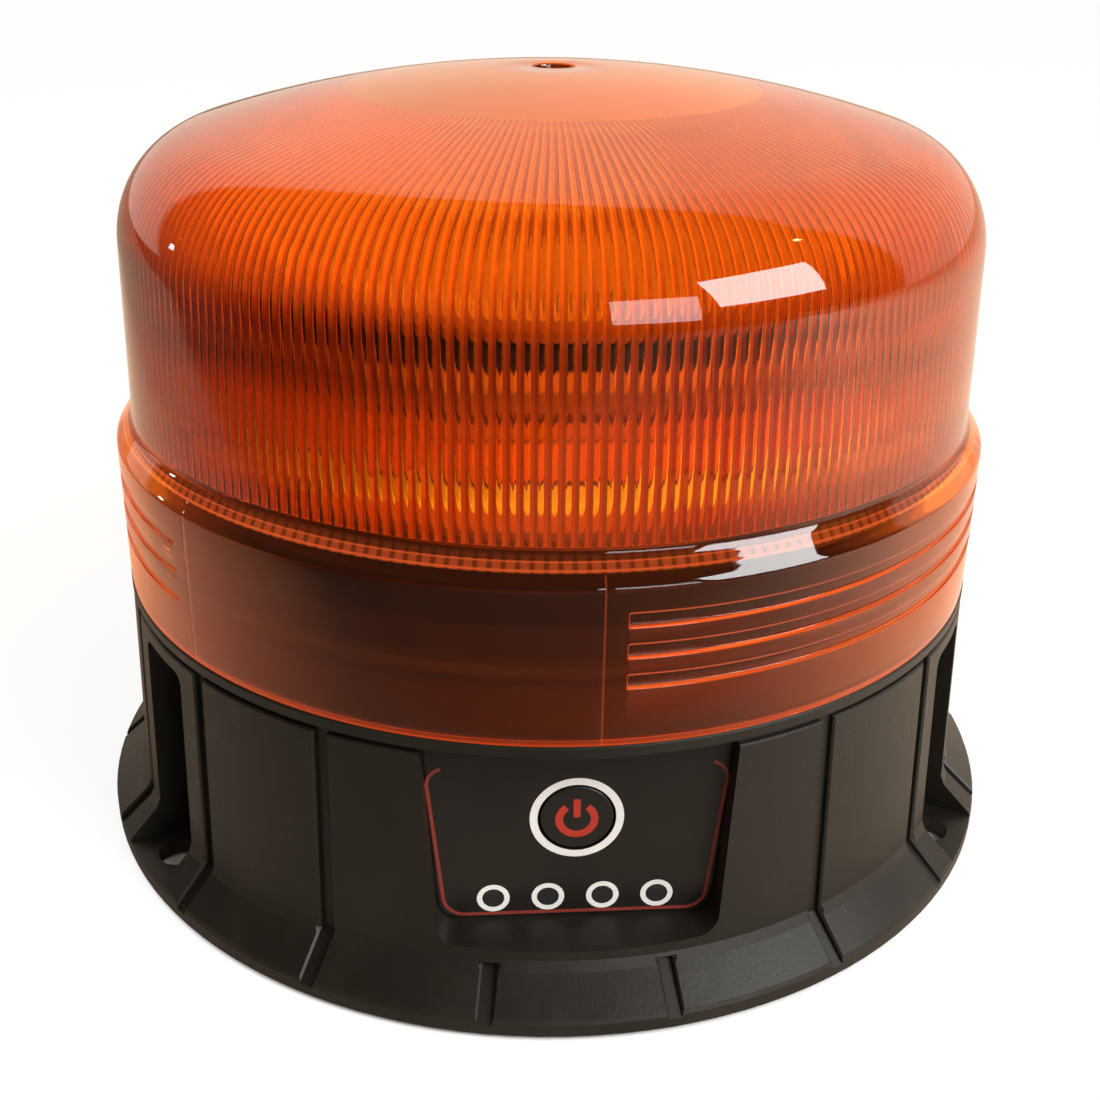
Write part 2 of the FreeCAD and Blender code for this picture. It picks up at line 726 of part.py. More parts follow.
def power_inductor():
    base = board_z + board_t
    x, y = on_board(inductor_at)
    half = inductor_side / 2
    foot = block(x - half, x + half, y - half, y + half, base, base + 1.5)
    return foot.fuse(post(inductor_r, inductor_h, x, y, base))


def capacitors():
    base = board_z + board_t
    return group([post(capacitor_r, capacitor_h, *on_board((capacitor_x, y)), base) for y in capacitor_ys])


def driver_chip():
    base = board_z + board_t
    x, y = on_board(chip_at)
    half = chip_side / 2
    return block(x - half, x + half, y - half, y + half, base, base + chip_h)


def board_plugs():
    base = board_z + board_t
    return group([block(x - plug_w / 2, x + plug_w / 2, y - plug_d / 2, y + plug_d / 2, base, base + plug_h)
                  for x, y in map(on_board, plug_spots)])


# Keypad: printed overlay, sprung power key, tact switch, light pipes and the small board behind.
def keypad_overlay():
    drop = recess_top_z - panel_view_top()
    lean = (recess_top_w - recess_bottom_w) / (recess_top_z - recess_floor_z)
    outline = rounded_panel(recess_top_w - overlay_margin - drop * lean, recess_bottom_w - overlay_margin,
                            panel_view_top(), recess_floor_z + overlay_margin,
                            recess_corner_r - overlay_margin, panel_y)
    sheet = Part.Face(outline).extrude(V(0, -overlay_t, 0))
    cuts = [rod(window_r, panel_y + 1, panel_y - 1, x, window_z) for x in window_xs]
    cuts.append(rod(key_r + key_clear, panel_y + 1, panel_y - 1, 0, key_z))
    return sheet.cut(cuts)


def panel_view_top():
    return recess_top_z - 0.6


def power_key():
    face = panel_y + overlay_t
    cap = rod(key_r, face, face - overlay_t - key_t, 0, key_z)
    rim = [e for e in cap.Edges if e.BoundBox.YMax < -face + 1e-6]
    cap = cap.makeFillet(0.25, rim)
    return cap.fuse(rod(key_stem_r, panel_y - key_t, switch_top_y() + plunger_reach, 0, key_z))


def switch_top_y():
    return keypad_board_y + switch_h


def switch_plunger():
    return rod(plunger_r, switch_top_y() + plunger_reach, switch_top_y() - 0.7, 0, key_z)


def key_switch():
    half = switch_size / 2
    body = block(-half, half, -switch_top_y(), -keypad_board_y, key_z - half, key_z + half)
    return body.cut(rod(plunger_r + key_clear, switch_top_y() + 1,
                        switch_top_y() - 0.7 - key_travel - key_clear, 0, key_z))


def indicator_light_pipes():
    face = panel_y + overlay_t
    one = rod(window_r - 2 * pipe_clear, face, panel_in_y - pipe_flange_t, 0, window_z)
    one = one.fuse(rod(pipe_flange_r, panel_in_y, panel_in_y - pipe_flange_t, 0, window_z))
    return group([moved(one, x, 0, 0) for x in window_xs])


def indicator_leds():
    top = panel_in_y - pipe_flange_t - 0.2
    return group([block(x - 1.4, x + 1.4, -top, -keypad_board_y, window_z - 1.0, window_z + 1.0)
                  for x in window_xs])


def keypad_board():
    side = keypad_post_x + keypad_board_margin
    board = block(-side, side, -keypad_board_y, -keypad_board_y + keypad_board_t,
                  keypad_post_low_z - keypad_board_margin, keypad_post_high_z + keypad_board_margin)
    return board.cut([rod(m2_r + screw_clear, keypad_board_y + 1, keypad_board_y - keypad_board_t - 1, x, z)
                      for x, z in keypad_posts])


def keypad_screws():
    one = screw(m2_r, keypad_board_t + keypad_post_h - 1, m2_head_r, m2_head_h)
    one.rotate(V(0, 0, 0), V(1, 0, 0), -90.0)
    back = -keypad_board_y + keypad_board_t
    return group([moved(one, x, back, z) for x, z in keypad_posts])


# Charging socket behind a hinged cover on the back of the housing.
def charge_socket():
    body = Part.makeCylinder(socket_body_r, socket_depth, V(socket_seat_r - socket_depth, 0, socket_z),
                             V(1, 0, 0))
    bore = Part.makeCylinder(socket_bore_r, socket_depth - 1.5,
                             V(socket_seat_r - socket_depth + 1.5, 0, socket_z),
                             V(1, 0, 0))
    back = socket_seat_r - socket_wall_back
    collar = Part.makeCylinder(socket_body_r + 2, 1.6, V(back - 1.6, 0, socket_z), V(1, 0, 0))
    return polar(body.fuse(collar).cut(bore), socket_az)


def socket_pin():
    base = socket_seat_r - socket_depth + 1.5
    return polar(Part.makeCylinder(socket_pin_r, socket_pin_l, V(base, 0, socket_z), V(1, 0, 0)), socket_az)


def charge_cover():
    hinge_u, hinge_z = hinge_place()
    inner = socket_seat_r + cover_flap_gap
    half = socket_seat_w / 2 - 0.8
    low = socket_z - socket_seat_h / 2 + 1.5
    flap = block(inner, inner + cover_flap_t, -half, half, low, hinge_z)
    corners = [e for e in flap.Edges if abs(e.BoundBox.ZMax - low) < 1e-6 and e.BoundBox.YLength < 1e-6]
    flap = flap.makeFillet(2.5, corners)
    nub = Part.makeCylinder(cover_nub_r, cover_nub_l + cover_flap_gap,
                            V(socket_seat_r - cover_nub_l, 0, socket_z),
                            V(1, 0, 0))
    cover = flap.fuse([nub, hinge_rod(hinge_barrel_r, 2 * half)])
    return polar(cover.cut(hinge_rod(hinge_pin_r + hinge_fit, 3 * half)), socket_az)


def cover_hinge_pin():
    return polar(hinge_rod(hinge_pin_r, socket_seat_w + 2 * wall_t - 1), socket_az)


# LED tower: an eight-sided core on a deck, with a board on each side and one on top.
def eight_sided(flat, height, z):
    corner = flat / math.cos(math.pi / tower_sides)
    turn = [math.pi / tower_sides + 2 * math.pi * i / tower_sides for i in range(tower_sides + 1)]
    points = [V(corner * math.cos(a), corner * math.sin(a), z) for a in turn]
    return Part.Face(Part.makePolygon(points)).extrude(V(0, 0, height))


tower_screw_r = (tower_flange_r + tower_flat - tower_wall) / 2
side_azimuths = [i * 360.0 / tower_sides for i in range(tower_sides)]


def led_deck():
    deck = post(deck_r, deck_t, 0, 0, shelf_top_z)
    holes = [post(deck_hole_r, deck_t + 2, 0, 0, shelf_top_z - 1)]
    holes += ring_of(post(m3_hole_r, deck_t + 2, deck_screw_r(), 0, shelf_top_z - 1), quarter_azimuths(45))
    holes += ring_of(post(m3_hole_r, deck_t + 2, tower_screw_r, 0, shelf_top_z - 1), quarter_azimuths(0))
    return deck.cut(holes)


def deck_screws():
    one = moved(screw(m3_r, deck_t + shelf_t - 0.5, m3_head_r, m3_head_h, m3_hex),
                deck_screw_r(), 0, deck_top_z)
    return group(ring_of(one, quarter_azimuths(45)))


def lens_screws():
    one = upside_down(screw(m3_r, shelf_t + lens_boss_h - 3, m3_head_r, m3_head_h, m3_hex))
    return group(ring_of(moved(one, lens_boss_circle_r, 0, shelf_z), pocket_azimuths))


def led_tower():
    tower = eight_sided(tower_flat, tower_h, deck_top_z)
    waist = eight_sided(tower_flat - tower_wall, tower_h - 2 * tower_flange_t, deck_top_z + tower_flange_t)
    holes = [waist, post(tower_flange_r, tower_h + 2, 0, 0, deck_top_z - 1)]
    holes += ring_of(post(m3_hole_r, tower_h + 2, tower_screw_r, 0, deck_top_z - 1), quarter_azimuths(0))
    return tower.cut(holes)


def tower_screws():
    one = upside_down(screw(m3_r, deck_t + tower_flange_t - 0.5, m3_head_r, m3_head_h, m3_hex))
    return group(ring_of(moved(one, tower_screw_r, 0, shelf_top_z), quarter_azimuths(0)))


def led_side_boards():
    mid = (deck_top_z + tower_top_z) / 2
    one = block(tower_flat, tower_flat + led_board_t, -side_board_w / 2, side_board_w / 2,
                mid - side_board_h / 2, mid + side_board_h / 2)
    return group(ring_of(one, side_azimuths))


def led_side_emitters():
    mid = (deck_top_z + tower_top_z) / 2
    face = tower_flat + led_board_t
    half = emitter_w / 2
    solids = []
    for col in (-emitter_col, emitter_col):
        for row in (-emitter_row, 0.0, emitter_row):
            one = block(face, face + emitter_t, col - half, col + half, mid + row - half, mid + row + half)
            solids += ring_of(one, side_azimuths)
    return group(solids)


def led_top_board():
    board = post(top_board_r, led_board_t, 0, 0, tower_top_z)
    return board.cut(ring_of(post(m3_hole_r, led_board_t + 2, tower_screw_r, 0, tower_top_z - 1),
                             quarter_azimuths(0)))


def led_top_emitters():
    half = emitter_w / 2
    one = block(top_emitter_circle_r - half, top_emitter_circle_r + half, -half, half,
                top_board_z, top_board_z + emitter_t)
    first = 180.0 / top_emitters
    return group(ring_of(one, [first + i * 360.0 / top_emitters for i in range(top_emitters)]))


def top_board_screws():
    one = screw(m3_r, led_board_t + tower_flange_t - 0.5, m3_head_r - 0.35, m3_head_h, m3_hex)
    return group(ring_of(moved(one, tower_screw_r, 0, top_board_z), quarter_azimuths(0)))


def led_leads():
    base = board_z + board_t
    return group([post(lead_r, tower_top_z - base, x, 0, base) for x in (-lead_x, lead_x)])


save("dome_lens", dome_lens())
save("lens_seal", lens_seal())
save("base_housing", base_housing())
save("bottom_cover", bottom_cover())
save("cover_screws", cover_screws())
save("magnet_yoke", magnet_yoke())
save("magnets", magnets())
save("magnet_pad", magnet_pad())
save("battery_tray", battery_tray())
save("tray_screws", tray_screws())
save("battery_cells", battery_cells())
save("battery_contacts", battery_contacts())
save("main_board", main_board())
save("board_screws", board_screws())
save("power_inductor", power_inductor())
save("capacitors", capacitors())
save("driver_chip", driver_chip())
save("board_plugs", board_plugs())
save("keypad_overlay", keypad_overlay())
save("power_key", power_key())
save("switch_plunger", switch_plunger())
save("key_switch", key_switch())
save("indicator_light_pipes", indicator_light_pipes())
save("indicator_leds", indicator_leds())
save("keypad_board", keypad_board())
save("keypad_screws", keypad_screws())
save("charge_socket", charge_socket())
save("socket_pin", socket_pin())
save("charge_cover", charge_cover())
save("cover_hinge_pin", cover_hinge_pin())
save("led_deck", led_deck())
save("deck_screws", deck_screws())
save("lens_screws", lens_screws())
save("led_tower", led_tower())
save("tower_screws", tower_screws())
save("led_side_boards", led_side_boards())
save("led_side_emitters", led_side_emitters())
save("led_top_board", led_top_board())
save("led_top_emitters", led_top_emitters())
save("top_board_screws", top_board_screws())
save("led_leads", led_leads())
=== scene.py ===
import math

import bpy
import numpy as np
from mathutils import Matrix, Vector


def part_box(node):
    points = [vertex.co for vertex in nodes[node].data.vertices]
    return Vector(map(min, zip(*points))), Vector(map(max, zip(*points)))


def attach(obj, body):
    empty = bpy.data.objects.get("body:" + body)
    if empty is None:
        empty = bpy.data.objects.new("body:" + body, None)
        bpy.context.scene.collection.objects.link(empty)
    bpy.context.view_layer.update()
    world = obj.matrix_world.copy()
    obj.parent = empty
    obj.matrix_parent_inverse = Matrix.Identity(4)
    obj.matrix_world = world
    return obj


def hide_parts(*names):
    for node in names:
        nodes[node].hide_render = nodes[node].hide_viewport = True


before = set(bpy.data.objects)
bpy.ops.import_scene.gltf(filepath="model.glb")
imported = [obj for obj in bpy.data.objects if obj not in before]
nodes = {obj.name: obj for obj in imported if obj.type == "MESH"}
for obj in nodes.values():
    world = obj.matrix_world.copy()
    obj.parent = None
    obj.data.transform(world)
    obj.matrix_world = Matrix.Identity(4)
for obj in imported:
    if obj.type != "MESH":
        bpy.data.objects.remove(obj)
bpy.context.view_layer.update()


# Base housing: one black moulding with the flange, the grooved wall, the rim and the collar.
# The tool's eroded skin leaves a fine satin grain; handling has rubbed and dusted it a little.
# The bottom cover and the flap over the charging socket are moulded in the same plastic.
mm = 0.001


def shader(tree, kind, values=None, **settings):
    """Add a shader node. Values go to its inputs, as constants or as links from other nodes."""
    made = tree.nodes.new("ShaderNode" + kind)
    for key, value in settings.items():
        setattr(made, key, value)
    for key, value in (values or {}).items():
        if isinstance(value, bpy.types.NodeSocket):
            tree.links.new(value, made.inputs[key])
        else:
            made.inputs[key].default_value = value
    return made


def noise(tree, spot, scale, detail, roughness=0.5):
    """A cloudy value over the surface, from 0 to 1 about a half."""
    values = {"Vector": spot, "Scale": scale, "Detail": detail, "Roughness": roughness}
    return shader(tree, "TexNoise", values).outputs["Fac"]


def mapped(tree, value, start, end, low=0.0, high=1.0):
    """A value that goes from low to high as another goes from start to end, and stays there beyond."""
    values = {"Value": value, "From Min": start, "From Max": end, "To Min": low, "To Max": high}
    return shader(tree, "MapRange", values).outputs[0]


def sums(tree, operation, *terms):
    """One step of arithmetic on up to three terms."""
    return shader(tree, "Math", dict(enumerate(terms)), operation=operation).outputs[0]


def mixed(tree, share, first, second, way="MIX"):
    """Two colours mixed, or multiplied, by a share."""
    values = {0: share, 6: first, 7: second}
    return shader(tree, "Mix", values, data_type="RGBA", blend_type=way).outputs[2]


def finish(name, **values):
    """A new material with plain values on its Principled surface; returns it, its tree and surface."""
    made = bpy.data.materials.new(name)
    made.use_nodes = True
    surface = made.node_tree.nodes["Principled BSDF"]
    for key, value in values.items():
        surface.inputs[key.replace("_", " ")].default_value = value
    return made, made.node_tree, surface


def effect(name, takes, gives):
    """An empty shader group with its named inputs and outputs; returns the tree and both ends."""
    tree = bpy.data.node_groups.new(name, "ShaderNodeTree")
    for label, value in takes.items():
        kind = "NodeSocketColor" if isinstance(value, tuple) else "NodeSocketFloat"
        tree.interface.new_socket(label, in_out="INPUT", socket_type=kind).default_value = value
    for label, kind in gives.items():
        tree.interface.new_socket(label, in_out="OUTPUT", socket_type="NodeSocket" + kind)
    return tree, tree.nodes.new("NodeGroupInput").outputs, tree.nodes.new("NodeGroupOutput").inputs


# Moulded skin: grain from fine noise, patches of rubbed gloss from coarse noise, and pale dust
# where a broad noise passes a threshold; the dust gathers towards the foot of the light.
skin, skin_in, skin_out = effect(
    "moulded_skin",
    {"Colour": (0.02, 0.02, 0.02, 1), "Roughness": 0.5, "Grain": 1500.0, "Dust": 0.3},
    {"Colour": "Color", "Roughness": "Float", "Height": "Float"})
dust_colour = (0.2, 0.17, 0.14, 1)
dust_top, dust_foot = 22 * mm, 2 * mm
rub_gloss, dust_dulling = -0.14, 0.5
place = shader(skin, "TexCoord").outputs["Object"]
patches = noise(skin, place, 70.0, 5.0, 0.6)
rubs = mapped(skin, noise(skin, place, 210.0, 6.0, 0.7), 0.56, 0.78)
height = shader(skin, "SeparateXYZ", {"Vector": place}).outputs["Z"]
low = mapped(skin, height, dust_top, dust_foot, 0.25, 1.0)
dust = sums(skin, "MULTIPLY", mapped(skin, patches, 0.45, 0.8), low)
dust = sums(skin, "MULTIPLY", dust, skin_in["Dust"])
mottle = mapped(skin, patches, 0.3, 0.7, 0.88, 1.12)
mottled = mixed(skin, 1.0, skin_in["Colour"], mottle, "MULTIPLY")
rubbed = sums(skin, "MULTIPLY_ADD", rubs, rub_gloss, skin_in["Roughness"])
skin.links.new(mixed(skin, dust, mottled, dust_colour), skin_out["Colour"])
skin.links.new(sums(skin, "MULTIPLY_ADD", dust, dust_dulling, rubbed), skin_out["Roughness"])
skin.links.new(noise(skin, place, skin_in["Grain"], 2.0), skin_out["Height"])


def moulded(name, colour, roughness, grain=1500.0, dust=0.3, relief=0.03, **values):
    """A plastic, rubber, ink or metal finish that carries the moulded skin; relief in millimetres."""
    made, tree, surface = finish(name, **values)
    worn = shader(tree, "Group", node_tree=skin)
    labels = ("Colour", "Roughness", "Grain", "Dust")
    for label, value in zip(labels, ((*colour, 1), roughness, grain, dust)):
        worn.inputs[label].default_value = value
    bump = shader(tree, "Bump", {"Height": worn.outputs["Height"], "Strength": 1.0, "Distance": relief * mm})
    tree.links.new(worn.outputs["Colour"], surface.inputs["Base Color"])
    tree.links.new(worn.outputs["Roughness"], surface.inputs["Roughness"])
    tree.links.new(bump.outputs["Normal"], surface.inputs["Normal"])
    return made


def dress(material, *names):
    """Give CAD pieces their finish."""
    for name in names:
        nodes[name].data.materials.clear()
        nodes[name].data.materials.append(material)


black_plastic = moulded("satin_black_plastic", (0.0105, 0.0086, 0.0062), 0.46, dust=0.05)
dress(black_plastic, "base_housing", "bottom_cover", "charge_cover")


# Magnetic foot: a matt rubber pad under the cover, with steel socket-head screws round it.
# The magnets and the yoke plate sit above the pad, out of sight. The other screws, the hinge pin of
# the charging flap and the seal under the lens are of the same zinc-plated steel and rubber.
rubber = moulded("matt_rubber", (0.014, 0.014, 0.013), 0.8, grain=900.0, dust=0.3, relief=0.05)
dress(rubber, "magnet_pad", "lens_seal")
steel = moulded("zinc_plate", (0.55, 0.54, 0.52), 0.35, grain=2500.0, dust=0.05, relief=0.005, Metallic=1.0)
dress(steel, "cover_screws", "tray_screws", "board_screws", "keypad_screws", "deck_screws", "lens_screws",
      "tower_screws", "top_board_screws", "cover_hinge_pin", "magnet_yoke")
dress(moulded("sintered_magnet", (0.11, 0.11, 0.12), 0.5, dust=0.0, Metallic=1.0), "magnets")


# Battery, boards and charging socket: cells in a moulded tray, fibreglass boards with their parts
# soldered on, and a socket with a nickel pin. Screws hold them inside the housing, where they are
# out of sight once it is closed.
dress(moulded("inner_plastic", (0.02, 0.02, 0.02), 0.5, dust=0.0),
      "battery_tray", "key_switch", "driver_chip", "charge_socket")
dress(moulded("cell_film", (0.03, 0.12, 0.3), 0.3, dust=0.0, relief=0.004), "battery_cells")
dress(moulded("nickel_strip", (0.6, 0.57, 0.5), 0.3, dust=0.0, relief=0.004, Metallic=1.0),
      "battery_contacts", "socket_pin")
dress(moulded("green_mask", (0.01, 0.1, 0.035), 0.35, dust=0.0, relief=0.01), "main_board", "keypad_board")
dress(moulded("ferrite", (0.05, 0.045, 0.04), 0.6, dust=0.0), "power_inductor")
dress(moulded("can_film", (0.05, 0.05, 0.09), 0.3, dust=0.0), "capacitors")
dress(moulded("plug_nylon", (0.75, 0.72, 0.62), 0.5, dust=0.0), "board_plugs")
dress(moulded("lead_sleeve", (0.35, 0.02, 0.015), 0.45, dust=0.0), "led_leads")
dress(moulded("plunger_nylon", (0.5, 0.48, 0.42), 0.5, dust=0.0), "switch_plunger")
dress(moulded("led_body", (0.6, 0.6, 0.58), 0.4, dust=0.0), "indicator_leds")


# Keypad: a printed polyester film in the recess, with a key that the thumb presses and the dark
# ends of four light pipes. The white rings and red lines are ink laid on the film and the key.
film = moulded("overlay_film", (0.0105, 0.0088, 0.0072), 0.34, grain=2600.0, dust=0.05, relief=0.012)
dress(film, "keypad_overlay", "power_key")
smoke = moulded("smoked_pipe_end", (0.022, 0.021, 0.021), 0.16, dust=0.02, relief=0.004)
dress(smoke, "indicator_light_pipes")
white_ink = moulded("white_ink", (0.78, 0.77, 0.75), 0.45, grain=2600.0, dust=0.04, relief=0.008)
red_ink = moulded("red_ink", (0.42, 0.03, 0.018), 0.45, grain=2600.0, dust=0.04, relief=0.008)
dull_red_ink = moulded("dull_red_ink", (0.22, 0.03, 0.022), 0.45, grain=2600.0, dust=0.04, relief=0.008)
film_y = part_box("keypad_overlay")[0][1] / mm
key_low, key_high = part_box("power_key")
key_y = key_low[1] / mm
key_z = (key_low[2] + key_high[2]) / 2 / mm
key_x = 0.0
ink_thickness = 0.03
crease_angle = 50


def piece(name, points, faces, material, body):
    """A mesh of points in millimetres and arrays of faces, riding on a body and finished like a slot."""
    mesh = bpy.data.meshes.new(name)
    mesh.vertices.add(len(points))
    mesh.vertices.foreach_set("co", (points * mm).astype(np.float32).ravel())
    corners = np.concatenate([f.ravel() for f in faces])
    sizes = np.concatenate([np.full(len(f), f.shape[1]) for f in faces])
    starts = np.concatenate([[0], np.cumsum(sizes)[:-1]])
    mesh.loops.add(len(corners))
    mesh.loops.foreach_set("vertex_index", corners.astype(np.int32))
    mesh.polygons.add(len(sizes))
    mesh.polygons.foreach_set("loop_start", starts.astype(np.int32))
    mesh.update(calc_edges=True)
    mesh.validate()
    mesh.set_sharp_from_angle(angle=math.radians(crease_angle))
    mesh.materials.append(material)
    made = bpy.data.objects.new(name, mesh)
    bpy.context.scene.collection.objects.link(made)
    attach(made, body)
    return made


def quads(rows, cols, wrap_rows=False, wrap_cols=False, first=0):
    """Quads between neighbouring points of a grid, wrapped round where asked."""
    j, i = np.mgrid[0:rows if wrap_rows else rows - 1, 0:cols if wrap_cols else cols - 1]
    down, along = (j + 1) % rows, (i + 1) % cols
    corners = [j * cols + i, j * cols + along, down * cols + along, down * cols + i]
    return first + np.stack(corners, -1).reshape(-1, 4)


def ink_line(name, path, width, face_y, closed, material, body):
    """Ink along a path of (x, z) points: a flat strip of even width and thickness, square in section."""
    step = np.roll(path, -1, 0) - np.roll(path, 1, 0) if closed else np.gradient(path, axis=0)
    side = np.stack([step[:, 1], -step[:, 0]], -1) / np.linalg.norm(step, axis=1, keepdims=True)
    edge = np.array([0.5, 0.5, -0.5, -0.5]) * width
    front_y = face_y - ink_thickness
    depth = np.array([face_y, front_y, front_y, face_y])
    at = path[:, None, :] + side[:, None, :] * edge[None, :, None]
    points = np.stack([at[..., 0], np.broadcast_to(depth, at.shape[:2]), at[..., 1]], -1).reshape(-1, 3)
    faces = [quads(len(path), 4, wrap_rows=closed, wrap_cols=True)[:, ::-1]]
    if not closed:
        faces += [np.array([[0, 1, 2, 3]]), np.array([[3, 2, 1, 0]]) + 4 * (len(path) - 1)]
    return piece(name, points, faces, material, body)


def circle(x, z, radius, start=0.0, end=360.0, count=96, closed=True):
    """Points (x, z) round a centre, clockwise from the top, between two angles in degrees."""
    turn = np.radians(np.linspace(start, end, count, endpoint=not closed))
    return np.stack([x + radius * np.sin(turn), z + radius * np.cos(turn)], -1)


power_ring_r, power_ring_w = 5.87, 1.06
gauge_count, gauge_pitch, gauge_z = 4, 7.57, 14.5
gauge_ring_r, gauge_ring_w = 1.9, 0.74
power_ring = circle(key_x, key_z, power_ring_r)
ink_line("power_ring", power_ring, power_ring_w, film_y, True, white_ink, "base")
for number in range(gauge_count):
    gauge_x = (number - (gauge_count - 1) / 2) * gauge_pitch
    gauge_ring = circle(gauge_x, gauge_z, gauge_ring_r, count=64)
    ink_line("gauge_ring_%d" % (number + 1), gauge_ring, gauge_ring_w, film_y, True, white_ink,
             "base")

# The red outline runs down from a curl at each upper end, and its leaning sides meet the foot line in
# two round corners. One half is drawn, and the other mirrors it.
outline_w = 0.5
curl_x, curl_z, curl_r = 17.6, 33.6, 2.5
corner_x, corner_z, corner_r = 15.25, 14.9, 3.0
side_angle = 90 + math.degrees(math.atan2(2.0, 19.0))
curl = circle(curl_x, curl_z, curl_r, 15, side_angle, 10, False)
corner = circle(corner_x, corner_z, corner_r, side_angle, 180, 14, False)
half = np.concatenate([curl, np.linspace(curl[-1], corner[0], 12)[1:-1], corner])
outline = np.concatenate([half, half[::-1] * [-1, 1]])
ink_line("keypad_outline", outline, outline_w, film_y, False, dull_red_ink, "base")

# The power symbol is an open ring with a bar in its gap, printed on the key, and it travels with it.
symbol_r, symbol_w, symbol_drop, symbol_gap = 2.4, 1.05, 0.25, 36
bar_top, bar_foot, bar_w = 3.0, 0.1, 0.95
symbol = circle(key_x, key_z - symbol_drop, symbol_r, symbol_gap, 360 - symbol_gap, 60, False)
ink_line("power_symbol_ring", symbol, symbol_w, key_y, False, red_ink, "power_key")
bar = np.stack([np.full(6, key_x), np.linspace(key_z + bar_top, key_z + bar_foot, 6)], -1)
ink_line("power_symbol_bar", bar, bar_w, key_y, False, red_ink, "power_key")


# LED tower: an aluminium core on a white deck, with a white board on each of its eight sides and
# one on top, all screwed down. The emitters are square packages filled with yellow phosphor. What
# shows of them through the lens is in bands of light and shade, and these are painted into their
# tones, which go by height or by distance from the axis.
def off_axis(tree, spot):
    """How far a point lies from the upright axis of the light."""
    flat_spot = shader(tree, "VectorMath", {0: spot, 1: (1, 1, 0)}, operation="MULTIPLY")
    return shader(tree, "VectorMath", {0: flat_spot.outputs[0]}, operation="LENGTH").outputs["Value"]


def banded(name, stops, roughness, across_deck=False):
    """A finish with painted light and shade, whose tone follows the height above the floor, or the distance
    from the axis, in mm.
    """
    made, tree, surface = finish(name)
    spot = shader(tree, "TexCoord").outputs["Object"]
    if across_deck:
        where = off_axis(tree, spot)
    else:
        where = shader(tree, "SeparateXYZ", {"Vector": spot}).outputs["Z"]
    first, last = stops[0][0], stops[-1][0]
    ramp = shader(tree, "ValToRGB", {"Fac": mapped(tree, where, first * mm, last * mm)})
    tones = ramp.color_ramp
    tones.interpolation = "EASE"
    for at, colour in stops[1:-1]:
        tones.elements.new((at - first) / (last - first)).color = (*colour, 1)
    tones.elements[0].color = (*stops[0][1], 1)
    tones.elements[-1].color = (*stops[-1][1], 1)
    fine = noise(tree, spot, 300.0, 4.0)
    shade = mapped(tree, fine, 0.3, 0.7, 0.9, 1.08)
    rough = mapped(tree, fine, 0.0, 1.0, roughness - 0.06, roughness + 0.08)
    tree.links.new(mixed(tree, 1.0, ramp.outputs["Color"], shade, "MULTIPLY"), surface.inputs["Base Color"])
    tree.links.new(rough, surface.inputs["Roughness"])
    return made


# Painted light and shade on the side boards and the core, as seen through the lens: lit and dim bands,
# painted shadow lines and a dark band at the top under the top board.
white_mask = (0.88, 0.86, 0.8)
warm = (0.8, 0.25, 0.1)
shadow_line = (0.12, 0.03, 0.015)
faint_line = (0.4, 0.12, 0.05)
dull = (0.66, 0.21, 0.09)
shadow_band = (0.15, 0.04, 0.02)
dim_low = (0.34, 0.11, 0.05)
dim_high = (0.34, 0.12, 0.06)
bright = (0.75, 0.33, 0.17)
black = (0.03, 0.008, 0.004)
lit_and_shaded_heights = [(63, white_mask), (66.0, white_mask), (66.15, shadow_line), (66.6, shadow_line),
           (66.9, warm), (72.2, warm), (72.5, faint_line), (72.8, faint_line), (73.1, dull), (75.2, dull),
           (75.4, shadow_band), (76.4, shadow_band), (76.7, dim_low), (79.2, dim_high),
           (80.0, bright), (82.3, bright), (82.8, black), (88.5, black)]
dress(banded("side_boards_painted_light", lit_and_shaded_heights, 0.4), "led_side_boards", "led_tower", "led_side_emitters")
# Painted light on the top board: lit in the middle, darker towards its rim.
board_middle, board_edge_shade = (0.62, 0.34, 0.18), (0.3, 0.085, 0.04)
board_rings = [(0, board_middle), (35.2, board_middle), (36.2, board_edge_shade), (41.2, board_edge_shade)]
dress(banded("top_board_painted_light", board_rings, 0.4, True), "led_top_board")
dress(moulded("phosphor", (0.85, 0.55, 0.06), 0.35, dust=0.0, relief=0.01), "led_top_emitters")
# Painted light on the deck: lit near the tower, dimmer further out, and darker at the edge with dust and
# painted shade.
deck_lit, deck_dim, deck_edge_dust_and_shade = (0.95, 0.93, 0.88), (0.55, 0.17, 0.075), (0.2, 0.06, 0.03)
deck_rings = [(0, white_mask), (31, white_mask), (33, deck_lit), (40.2, deck_lit),
              (41.2, deck_dim), (46.4, deck_dim), (47.2, deck_edge_dust_and_shade), (50, deck_edge_dust_and_shade)]
dress(banded("deck_painted_light", deck_rings, 0.5, True), "led_deck")


# Amber lens: one clear polycarbonate moulding, polished outside and screwed on from below. Inside,
# 240 ribs run down the wall and in over the shoulder and the roof. The band below the ledge has three
# short recessed lines in each third, and its cut edges carry a painted glow that stands in for light
# travelling inside the plastic.
lens_top = 117.0
wall = 2.6
cap_radius = 184.0
cap_z = lens_top - cap_radius
shoulder_r, shoulder_z, shoulder_radius = 48.6, 93.82, 16.0
shoulder_turn = math.atan2(shoulder_r, shoulder_z - cap_z)
hole_floor, hole_mouth_r = 115.5, 3.5
band_top, band_h, band_r, band_draft = 65.4, 22.8, 68.0, 0.2
band_look_from = 66.5
line_count, line_drop, line_pitch = 3, 4.0, 4.3


def bend(r, z, radius, start, end, count):
    """Points of an arc in the (radius, height) plane; angles are from straight up."""
    a = np.linspace(start, end, count)
    return np.stack([r + radius * np.sin(a), z + radius * np.cos(a)], -1)


def unlit(profile):
    """Profile points as (radius, height, edge glow) rows that don't glow."""
    return np.column_stack([profile, np.zeros(len(profile))])
